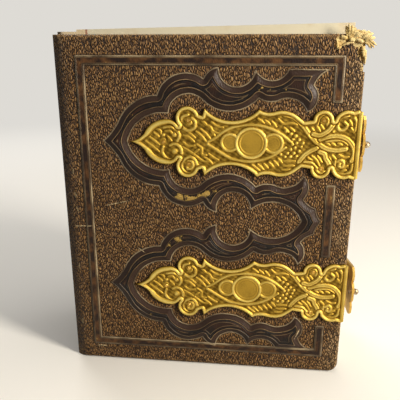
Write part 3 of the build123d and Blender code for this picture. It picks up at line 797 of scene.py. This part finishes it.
# Clasp plates: brass sheet struck in a die with a leaf, scrolls, a cartouche and ribbons, cut out
# and bent over the fore-edge as a flange with the catch hole. Each is a fine grid lifted to the
# die's relief. Places are in mm from the board's middle across and from the clasp's axis up.
plate_tip = -34.0
plate_length = 98.85
plate_half_height = 14.9
plate_cell = 0.21
relief_floor = 0.5
relief_top = 1.28
field_height = 0.62
foot_height = 0.6
rib_shape = (0.6, field_height, 1.02, 0.3)
roll_shape = (0.75, foot_height, 1.16, 0.15)
ribbon_half_width = 1.1
ribbon_foot = 0.55
cartouche_centre = (19.5, 0.2)
cartouche_radius = 6.6
ring_middle_z = 0.3
flange_edge_x = 64.2
flange_edge_half_width = 0.75
pin_seat = 0.79

# Half of the outline from the leaf's tip to the flange, in shares of the length and half height.
plate_table = [
    ((0.036, 0.067), (0.071, 0.242)),
    ((0.115, 0.570), (0.172, 0.671)),
    ((0.207, 0.604), (0.224, 0.483)),
    ((0.237, 1.000), (0.313, 0.819)),
    (None, (0.328, 0.779)),
    (None, (0.338, 1.000)),
    ((0.455, 0.651), (0.571, 0.987)),
    ((0.597, 0.913), (0.637, 0.926)),
    ((0.694, 0.940), (0.738, 0.792)),
    (None, (0.762, 0.664)),
    (None, (0.798, 0.698)),
    ((0.844, 0.987), (0.886, 0.698)),
    ((0.919, 0.960), (0.963, 0.960)),
    (None, (0.983, 1.000)),
    (None, (1.000, 0.940)),
    (None, (1.000, 0.000)),
]

# Lines of the die: each is a few points that a smooth ridge runs through.
ribbons = [
    [
        (33, 12.6), (36.5, 11.8), (39.5, 9.6), (42, 6.6), (44.5, 3.4), (47.5, 0.7), (51, -1.4),
        (55, -2.1), (59, -1.5),
    ],
    [(48.2, 2.4), (52, 3.7), (56, 3.9), (59.5, 2.6), (62, -0.4), (62.7, -4), (61.8, -6.5)],
    [(40, -7.4), (42, -4.6), (44.5, -2.6), (47, -1.4)],
    [
        (42.5, -7.8), (45, -8), (47, -9.8), (49, -11.6), (51.6, -11.9), (53, -10), (52.3, -7.6),
        (51, -5.6), (50.4, -3.8), (48.4, -2.9),
    ],
    [(53.2, 9), (51.6, 6.4), (48.2, 4.2), (45.2, 4.6)],
]
rolls = [
    [
        (0.8, -0.5), (3.5, -2.2), (8, -5), (12, -7), (17, -7.7), (22, -7.4), (26, -6.3), (30, -4.3),
        (34, -1.4),
    ],
    [
        (1, 0.4), (4.4, 2.4), (8, 5.2), (12, 7.1), (16, 7.9), (20, 8.1), (24, 7.6), (28, 6.4),
        (32, 4.3), (36.4, 1),
    ],
    [
        (-18.6, -2), (-19, -4.6), (-17.4, -7), (-14.8, -8), (-12, -7.3), (-10.5, -4.6), (-11.3, -1.9),
        (-13.6, -0.7), (-15.6, -1.4),
    ],
    [(-18.2, 6.4), (-15, 6.7), (-12.4, 5.2), (-11.4, 2.6), (-12.4, 0.6)],
    [
        (-7.6, 11.9), (-10, 11), (-10.9, 8.4), (-9.6, 6.1), (-7.2, 5.2), (-4.7, 6.5), (-4.6, 9.2),
        (-6, 10.6),
    ],
    [(-9, -7.3), (-10.6, -9.4), (-10.3, -11.9), (-8.4, -13.7), (-5.6, -13.6), (-3.2, -12)],
    [(-9, -7.2), (-6.6, -6.3), (-4.6, -7.8), (-3.6, -10), (-1.6, -11), (0.4, -12)],
    [(-8.2, -10.6), (-7.8, -11.6), (-6.2, -11.4), (-5.4, -9.8), (-6.2, -8.3), (-7.6, -8.2)],
    [(46.6, 8.6), (47, 11.6), (49.6, 13.2), (52.2, 12), (52.8, 9.6)],
    [(48.6, 9.8), (49.6, 11.4), (51.2, 10.4), (50.6, 8.8)],
    [(59, 12.4), (56, 11.6), (54.9, 9), (55.6, 6.7), (57.6, 6.6), (58.9, 8.4), (57.6, 9.9)],
    [(62.2, 6.4), (62.7, 9.4), (61.4, 12)],
    [(55.2, -7), (55, -10.4), (56.8, -12.4), (59.8, -12.4), (62, -10.6), (62.3, -7.6)],
    [(56, -7), (57.4, -6.2), (58.8, -7.6), (58, -9.3), (56.6, -8.8)],
    [(50.8, 1.6), (54, 2.2), (57.4, 2.2), (59.8, 0.6)],
]
ribs = [
    [(-28, -1), (-25.5, -2.7), (-22.6, -5.2)],
    [(-26.4, 0.4), (-23.5, -1.8), (-20.4, -4.2)],
    [(-24.6, 2.3), (-22.2, 0.4), (-20.3, -1.2)],
    [(-22.8, 4.4), (-20.4, 2.3)],
    [(-23.2, -6.4), (-19.5, -8), (-16.6, -9)],
    [(-22.4, 6), (-20, 5.2), (-19.4, 3.6)],
    [(-17.6, 4.8), (-15.6, 4.9), (-14.2, 3.4)],
    [(-16.6, 2.6), (-14.8, 0.6)],
    [(-9.6, 3.2), (-7.4, 2.4), (-5, 0.4)],
    [(-7.4, 4.4), (-4.6, 2.2)],
    [(-4.2, 4.9), (-1.8, 3), (0.2, 0.5)],
    [(-2.2, 6), (0, 4), (2, 1.8)],
    [(-0.4, 8), (1.9, 6.9), (3.2, 5), (5.6, 4.3)],
    [(2.4, 5.2), (4, 3.1)],
    [(-1.8, 9.7), (0.6, 7.6)],
    [(2.4, 9), (5, 7.2), (7.4, 6.9)],
    [(-9.8, 0.2), (-7.5, -1.5), (-4.8, -1.2)],
    [(-10, -2), (-7, -3.8), (-4, -6), (-1.2, -8), (1.4, -8.2)],
    [(-3.8, -0.7), (-1.7, -2.4), (-1.6, -5), (0.4, -5.4)],
    [(1.2, -4.6), (3.5, -6.4), (5.6, -7.4)],
    [(-0.6, -6.2), (1.6, -7.8), (3.2, -9.4)],
    [(-4.8, -4.4), (-3, -2.9)],
    [(22, 10.8), (24.6, 8.9)],
    [(25, 10.2), (27.2, 8.4)],
    [(27.8, 9.8), (29.8, 7.4)],
    [(30.4, 10.8), (32.8, 8.8), (35.6, 9.1), (38.4, 8.5)],
    [(33, 7.2), (35, 5.2)],
    [(35.6, 7.2), (37.4, 5.6)],
    [(20.2, -9.2), (23.8, -12)],
    [(22.6, -8.9), (25.2, -11.2)],
    [(25.2, -8.6), (27, -10.4)],
    [(27.4, -7.9), (29.2, -9.7)],
    [(29.4, -7.2), (31.4, -9.2)],
    [(31.2, -6.1), (33, -8)],
    [(33.6, -7.2), (38.4, -7.2)],
    [(33.6, -9.2), (38, -9.2)],
    [(33, -11), (36.6, -11.1)],
    [(44.4, 7.2), (46, 4.9)],
    [(46.2, 8.4), (48, 5.8)],
    [(48, 8.6), (49.6, 6.4)],
    [(45.2, -4.6), (47.4, -6.6), (48.8, -9.2)],
    [(43.6, -5.4), (45.6, -7)],
    [(47.6, -4.6), (49.6, -7.4)],
    [(50.8, 6.2), (52, 4.9)],
    [(52.8, 6.4), (53.8, 5)],
    [(59.6, 10.6), (60.8, 8.4)],
    [(60.4, 7.6), (61.8, 5.6)],
    [(51.8, -4.8), (53.2, -6.4)],
    [(53.6, -4.2), (55.2, -5.8)],
    [(56.2, -3.8), (58.6, -5), (60.6, -4.8)],
    [(51, 0.8), (52.4, 0.1)],
    [(53, 1), (54.6, 0)],
    [(55.6, 1), (57.4, 0.2)],
    [(58.8, -9.6), (60.4, -8.6)],
    [(58.2, -11), (59.8, -10.6)],
]
beads = [
    (-18.5, 0.7, 1.2), (-18.4, 3.1, 0.8), (-13.6, 3.2, 1.1), (-13.6, -4, 1.4), (-7, 8.6, 1.3),
    (-6.9, -9.9, 0.8), (34, 5.6, 0.8), (36, 4.4, 0.8), (38, 3.6, 0.9), (37, 2.2, 0.7), (39.6, 2, 0.8),
    (41.2, 0.6, 0.8), (38.6, 0.6, 0.8), (36.9, 0, 0.7), (40.6, -0.9, 0.7), (38, -1.4, 0.8),
    (39.8, -2.8, 0.8), (36.2, -2.2, 0.8), (37.6, -3.8, 0.8), (35, -3.8, 0.8), (36.3, -5.3, 0.8),
    (34, -5.4, 0.7), (38.8, -5.1, 0.7), (32.2, -4.4, 0.7), (50, 9.9, 0.9), (57, -8, 0.8),
]
# Rings of the cartouche: radius, half the ridge's width and its top. Side rings: place across,
# radius and half the ridge's width. Pins sit at shares of the length and half height.
cartouche_rings = [(6.3, 0.75, relief_top), (5.0, 0.5, 1.02)]
side_rings = [(10.4, 3.6, 0.7), (28.8, 3.9, 0.7)]
pin_places = [
    (plate_tip + across * plate_length, up * plate_half_height)
    for across, up in [(0.157, 0.0), (0.268, 0.64), (0.268, -0.64), (0.844, 0.69), (0.844, -0.69)]
]


def flow(points, steps=5):
    """A smooth line through a few chosen points."""
    chosen = np.array(points, float)
    if len(chosen) < 3:
        return chosen
    ends = np.vstack([2 * chosen[0] - chosen[1], chosen, 2 * chosen[-1] - chosen[-2]])
    line = []
    for a, b, c, d in zip(ends, ends[1:], ends[2:], ends[3:]):
        for t in np.arange(steps) / steps:
            square = (2 * a - 5 * b + 4 * c - d) * t**2
            cube = (3 * b - a - 3 * c + d) * t**3
            line.append(0.5 * (2 * b + (c - a) * t + square + cube))
    return np.array(line + [chosen[-1]])


def near_line(points, line):
    """Distance of each point from an open line, and how far along the line it lies, 0 to 1."""
    start, run = line[:-1], np.diff(line, axis=0)
    _, along, gap = from_runs(points, start, run)
    best = gap.argmin(1)
    rows = np.arange(len(points))
    return gap[rows, best], (best + along[rows, best]) / len(start)


def raise_line(height, points, path, radius, low, top, pointed=0.0):
    """Lifts a half-round ridge along a path. A pointed one is thinner towards its ends."""
    line = flow(path)
    near = ((points >= line.min(0) - radius) & (points <= line.max(0) + radius)).all(1)
    gap, along = near_line(points[near], line)
    width = radius * (1 - pointed * (2 * along - 1) ** 2)
    lift = low + (top - low) * np.sqrt(np.clip(1 - (gap / width) ** 2, 0, 1))
    height[near] = np.where(gap < width, np.maximum(height[near], lift), height[near])


def raise_ring(height, points, x, z, radius, width, low, top):
    gap = np.abs(np.hypot(points[:, 0] - x, points[:, 1] - z) - radius)
    lift = low + (top - low) * np.sqrt(np.clip(1 - (gap / width) ** 2, 0, 1))
    height[:] = np.where(gap < width, np.maximum(height, lift), height)


def raise_bead(height, points, x, z, radius):
    gap = np.hypot(points[:, 0] - x, points[:, 1] - z) / radius
    lift = foot_height + 0.58 * np.sqrt(np.clip(1 - gap**2, 0, 1))
    height[:] = np.where(gap < 1, np.maximum(height, lift), height)


def level_disc(height, points, x, z, radius, level):
    height[np.hypot(points[:, 0] - x, points[:, 1] - z) < radius] = level


def raise_ribbon(height, points, path):
    """A round ribbon with a crease along it, in a ditch that keeps it clear of what it crosses."""
    gap, _ = near_line(points, flow(path))
    ditch = ease(gap, 1.6, ribbon_half_width)
    height[:] = height * (1 - ditch) + ribbon_foot * ditch
    round_top = np.sqrt(np.clip(1 - (gap / ribbon_half_width) ** 2, 0, 1))
    crown = ribbon_foot + (relief_top - ribbon_foot) * round_top - 0.2 * ease(gap, 0.5, 0.15)
    height[:] = np.where(gap < ribbon_half_width, np.maximum(height, crown), height)


def raise_rim(height, points, inside):
    """The rolled rim, wider round the leaf's scrolls, with a valley inside it."""
    band = 0.9 + 0.45 * ease(np.abs(points[:, 0] + 23), 9, 4) * ease(np.abs(points[:, 1]), 1.5, 4)
    round_over = np.sqrt(np.clip(1 - ((inside - band) / band) ** 2, 0, 1))
    rim = 0.3 + (relief_top - 0.3) * round_over
    reach = 2 * band
    valley = ease(inside, reach + 0.7, reach)
    low = height * (1 - valley) + np.minimum(height, foot_height) * valley
    height[:] = np.where(inside < reach + 0.7, low, height)
    within = np.where(inside > band, height, 0)
    height[:] = np.where(inside < reach, np.maximum(rim, within), height)


def die_relief(points, inside):
    """Height of the stamping above the leather at each point, in mm."""
    waves = np.sin(points[:, 0] * 1.9 + points[:, 1]) * np.sin(points[:, 1] * 2.3)
    height = field_height + 0.1 * waves
    for path in ribs:
        raise_line(height, points, path, *rib_shape)
    for path in rolls:
        raise_line(height, points, path, *roll_shape)
    for x, z, radius in beads:
        raise_bead(height, points, x, z, radius)
    for x, radius, width in side_rings:
        level_disc(height, points, x, ring_middle_z, radius, 0.74)
        raise_ring(height, points, x, ring_middle_z, radius, width, foot_height, 1.16)
        raise_ring(height, points, x, ring_middle_z, radius - 1.3, 0.3, 0.7, 0.82)
    level_disc(height, points, *cartouche_centre, cartouche_radius, 0.8)
    for radius, width, top in cartouche_rings:
        raise_ring(height, points, *cartouche_centre, radius, width, field_height, top)
    for path in ribbons:
        raise_ribbon(height, points, path)
    raise_rim(height, points, inside)
    strip = np.abs(points[:, 0] - flange_edge_x)
    height = np.where(strip < flange_edge_half_width, 1.2 - 0.25 * strip, height)
    for x, z in pin_places:
        seat = ease(np.hypot(points[:, 0] - x, points[:, 1] - z), 1.5, 1.15)
        height = height * (1 - seat) + pin_seat * seat
    return height


def to_line(points, outline):
    """The nearest place on a closed outline for each point."""
    start = np.array(outline, float)
    run = np.roll(start, -1, axis=0) - start
    _, along, gap = from_runs(points, start, run)
    foot = start[None, :, :] + along[:, :, None] * run
    return foot[np.arange(len(points)), gap.argmin(1)]


half = outline_points((0.0, 0.0), plate_table, plate_length, plate_half_height, step=0.25)
plate_outline = [(plate_tip + x, z) for x, z in half]
plate_outline += [(x, -z) for x, z in reversed(plate_outline[1:-1])]
margin = 0.3
columns = round((plate_length + 2 * margin) / plate_cell)
rows = round(2 * (plate_half_height + 2 * margin) / plate_cell)

deselect()
bpy.ops.mesh.primitive_grid_add(x_subdivisions=columns, y_subdivisions=rows, size=1.0)
upper_plate = bpy.context.object
upper_plate.name = "upper_plate_stamping"
plate_mesh = upper_plate.data
flat = read_points(plate_mesh)
x = plate_tip - margin + (flat[:, 0] + 0.5) * columns * plate_cell
z = flat[:, 1] * rows * plate_cell
flat = np.stack([x, z], 1)
reach = reach_in(flat, plate_outline)
outside = reach < -plate_cell * 0.98
just_out = (reach < 0) & (reach > -plate_cell)
flat[just_out] = to_line(flat[just_out], plate_outline)
height = die_relief(flat, np.maximum(reach, 0))
stood = [flat[:, 0] + board_centre, -(face_y + height), flat[:, 1] + clasp_heights[0]]
write_points(plate_mesh, np.stack(stood, 1) / 1000)
keep_measure(plate_mesh, "crest", (height - relief_floor) / (relief_top - relief_floor))
ends = np.empty(len(plate_mesh.polygons) * 4, int)
plate_mesh.polygons.foreach_get("vertices", ends)
delete_faces(plate_mesh, outside[ends.reshape(-1, 4)].any(1))
select_open_edges()
bpy.ops.mesh.extrude_region_move()
bpy.ops.object.mode_set(mode="OBJECT")
points = read_points(plate_mesh)
points[chosen_points(plate_mesh), 1] = -face_y / 1000
write_points(plate_mesh, points)
bpy.ops.object.mode_set(mode="EDIT")
bpy.ops.mesh.select_all(action="SELECT")
bpy.ops.mesh.remove_doubles(threshold=1e-6)
bpy.ops.mesh.dissolve_degenerate(threshold=1e-6)
bpy.ops.mesh.normals_make_consistent(inside=False)
bpy.ops.object.mode_set(mode="OBJECT")

# The flange down the fore-edge, in metres as the solids are, with its hole for the knob's peg.
flange_thickness = 0.0006
flange_height = 0.025
flange_y = (-0.0268, -0.0216)
flange_x = (board_centre + right_x) / 1000 + flange_thickness / 2
catch_y = -0.0237
catch_radius = 0.0012
catch_z = clasp_heights[0] / 1000
deselect()
bpy.ops.mesh.primitive_cube_add(size=1.0)
flange = bpy.context.object
shape = read_points(flange.data) * [flange_thickness, flange_y[1] - flange_y[0], flange_height]
write_points(flange.data, shape + [flange_x, sum(flange_y) / 2, catch_z])
bpy.ops.object.mode_set(mode="EDIT")
bpy.ops.mesh.select_all(action="SELECT")
bpy.ops.mesh.bevel(offset=0.00018, segments=2)
bpy.ops.object.mode_set(mode="OBJECT")
deselect()
bpy.ops.mesh.primitive_cylinder_add(vertices=40, radius=1.0, depth=1.0)
drill = bpy.context.object
shape = read_points(drill.data)[:, [2, 0, 1]] * [5 * flange_thickness, catch_radius, catch_radius]
write_points(drill.data, shape + [flange_x, catch_y, catch_z])
deselect()
flange.select_set(True)
bpy.context.view_layer.objects.active = flange
hole = flange.modifiers.new("catch_hole", "BOOLEAN")
hole.operation = "DIFFERENCE"
hole.solver = "EXACT"
hole.object = drill
bpy.ops.object.modifier_apply(modifier="catch_hole")
bpy.data.objects.remove(drill)
keep_measure(flange.data, "crest", np.full(len(flange.data.vertices), 0.85))
upper_plate.select_set(True)
bpy.context.view_layer.objects.active = upper_plate
bpy.ops.object.join()
bpy.ops.object.shade_smooth_by_angle(angle=math.radians(50))


def stamped_brass():
    """Bright on the crests, brown in the hollows, and brushed on the flat of the cartouche."""
    brass = Finish("stamped_brass")
    crest = brass.node("ShaderNodeAttribute", {"attribute_name": "crest"}, None, "Fac")
    tarnish = brass.cloud(0.007, 4.0)
    speck = brass.cloud(0.0006, 3.0)
    streaks = brass.cloud(0.0005, 2.0, brass.turned((0, 0, 0), (1.0, 1.0, 0.06)))
    shine = crest + (tarnish - 0.5) * 0.5 + (speck - 0.5) * 0.25
    tint = brass.blend(brass.fade(shine, 0.0, 0.45), colour(94, 70, 22), colour(172, 139, 54))
    tint = brass.blend(brass.fade(shine, 0.6, 1.1), tint, colour(222, 198, 110))
    tint = brass.blend(brass.fade(speck, 0.68, 0.78) * 0.6, tint, colour(70, 46, 16))
    brass.set(
        Base_Color=tint,
        Metallic=1.0,
        Roughness=0.52 - crest * 0.1 + tarnish * 0.12,
        Normal=brass.bump(speck * 0.6 + streaks * 0.5, 0.00005),
    )
    return brass.material


upper_plate.data.materials.clear()
upper_plate.data.materials.append(stamped_brass())
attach(upper_plate, "front_cover")
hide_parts("upper_front_plate")

lower_plate = upper_plate.copy()
lower_plate.data = upper_plate.data.copy()
lower_plate.name = "lower_plate_stamping"
lower_plate.data.transform(Matrix.Translation((0, 0, -clasp_pitch / 1000)))
bpy.context.scene.collection.objects.link(lower_plate)
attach(lower_plate, "front_cover")
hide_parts("lower_front_plate")


# Hasps, hinge plates and pins: thin brass sheet stamped and lacquered once, and round-headed
# brass pins. They keep their solids, rubbed bright, with brown dirt specks and soft tarnish.
pin_polish = 0.18
sheet_polish = 0.28


def plain_brass(name, polish):
    brass = Finish(name)
    tarnish = brass.cloud(0.0045, 4.0)
    speck = brass.cloud(0.0007, 3.0)
    tint = brass.blend(brass.fade(tarnish, 0.35, 0.7), colour(220, 180, 92), colour(190, 150, 70))
    tint = brass.blend(brass.fade(speck, 0.62, 0.74) * 0.7, tint, colour(78, 54, 22))
    brass.set(
        Base_Color=tint,
        Metallic=1.0,
        Roughness=polish + tarnish * 0.22,
        Normal=brass.bump(speck * 0.5 + tarnish * 0.5, 0.00008),
    )
    return brass.material


for piece in ("upper_hasp", "lower_hasp", "upper_rear_plate", "lower_rear_plate"):
    nodes[piece].material_slots[0].material = plain_brass(piece + "_brass", sheet_polish)
for piece in ("front_plate_pins", "rear_plate_pins"):
    nodes[piece].material_slots[0].material = plain_brass(piece + "_brass", pin_polish)


# Turned knobs and hinge pins: hard white metal, polished, with rust freckles at the joints.
# They are turned from rod; the knobs' pegs snap into the front plates.
def white_metal(name):
    metal = Finish(name)
    rust = metal.cloud(0.0009, 4.0)
    tarnish = metal.cloud(0.003, 3.0)
    tint = metal.blend(metal.fade(tarnish, 0.35, 0.65), colour(196, 184, 162), colour(160, 142, 112))
    tint = metal.blend(metal.fade(rust, 0.6, 0.7), tint, colour(92, 60, 36))
    metal.set(
        Base_Color=tint,
        Metallic=1.0,
        Roughness=0.2 + rust * 0.2,
        Normal=metal.bump(rust, 0.00004),
    )
    return metal.material


for piece in ("upper_hasp_knob", "lower_hasp_knob", "upper_hinge_pin", "lower_hinge_pin"):
    nodes[piece].material_slots[0].material = white_metal(piece + "_metal")


# Studio: a pale floor that fades into the backdrop, a tall soft lamp low at the right, weaker
# ones above and behind, and the camera a little to the right of the album's middle, above it.
backdrop_tint = colour(222, 219, 213)
floor_tint = colour(238, 235, 228)
shaded_floor_tint = colour(44, 43, 40)
floor_size = 4.0
floor_drop = 0.0002
fade_start = 0.2
fade_end = 0.9
lamp_aim = (0, 0, 0.08)
deselect()
bpy.ops.mesh.primitive_grid_add(x_subdivisions=8, y_subdivisions=8, size=floor_size)
floor = bpy.context.object
floor.name = "floor"
floor.data.transform(Matrix.Translation((0, 0, -floor_drop)))
paper = Finish("floor_paper")
looked_at = paper.node("ShaderNodeLightPath", output="Is Camera Ray")
looked_at = looked_at | paper.node("ShaderNodeLightPath", output="Is Glossy Ray")
paper.set(Base_Color=paper.blend(looked_at, shaded_floor_tint, floor_tint), Roughness=0.9)
away = paper.node("ShaderNodeVectorMath", {"operation": "LENGTH"}, {0: paper.place}, "Value")
glow = paper.node("ShaderNodeEmission", None, {"Color": backdrop_tint})
far = paper.fade(away, fade_start, fade_end) * looked_at
near = Tone(paper, paper.shader.outputs[0])
merged = paper.node("ShaderNodeMixShader", None, {0: far, 1: near, 2: glow})
paper.feed(paper.tree.nodes["Material Output"].inputs["Surface"], merged)
floor.data.materials.append(paper.material)


def lamp(name, place, size, power, tint):
    light = bpy.data.lights.new(name, "AREA")
    light.shape = "RECTANGLE"
    light.size, light.size_y = size
    light.energy = power
    light.color = tint
    holder = bpy.data.objects.new(name, light)
    bpy.context.scene.collection.objects.link(holder)
    holder.location = place
    holder.rotation_euler = (Vector(lamp_aim) - Vector(place)).to_track_quat("-Z", "Y").to_euler()


lamp("key_lamp", (0.5, -0.28, 0.3), (0.12, 0.4), 6.0, (1.0, 0.93, 0.82))
lamp("top_lamp", (0.12, 0.0, 0.95), (0.4, 0.4), 2.9, (1.0, 0.97, 0.93))
lamp("back_lamp", (-0.5, 0.7, 0.5), (0.5, 0.5), 4.5, (1.0, 0.98, 0.95))
world = bpy.data.worlds.new("studio")
bpy.context.scene.world = world
world.use_nodes = True
sky = world.node_tree
soft = sky.nodes["Background"]
soft.inputs["Color"].default_value = (0.95, 0.96, 1.0, 1.0)
soft.inputs["Strength"].default_value = 0.05
backdrop = sky.nodes.new("ShaderNodeBackground")
backdrop.inputs["Color"].default_value = backdrop_tint
seen = sky.nodes.new("ShaderNodeLightPath")
looked_at = sky.nodes.new("ShaderNodeMath")
looked_at.operation = "MAXIMUM"
sky.links.new(seen.outputs["Is Camera Ray"], looked_at.inputs[0])
sky.links.new(seen.outputs["Is Glossy Ray"], looked_at.inputs[1])
either = sky.nodes.new("ShaderNodeMixShader")
sky.links.new(looked_at.outputs[0], either.inputs["Fac"])
sky.links.new(soft.outputs[0], either.inputs[1])
sky.links.new(backdrop.outputs[0], either.inputs[2])
sky.links.new(either.outputs[0], sky.nodes["World Output"].inputs["Surface"])

photo_pixels = 400
focal_pixels = 495.8
sensor_width = 36
camera_tilt = math.radians(72.7)
camera_turn = math.radians(6.07)
camera_place = (0.01858, -0.23708, 0.15156)
view = bpy.data.cameras.new("camera")
view.sensor_width = sensor_width
view.lens = focal_pixels / photo_pixels * sensor_width
camera = bpy.data.objects.new("camera", view)
bpy.context.scene.collection.objects.link(camera)
camera.location = camera_place
camera.rotation_euler = (camera_tilt, 0, camera_turn)
bpy.context.scene.camera = camera
bpy.context.scene.view_settings.view_transform = "Standard"
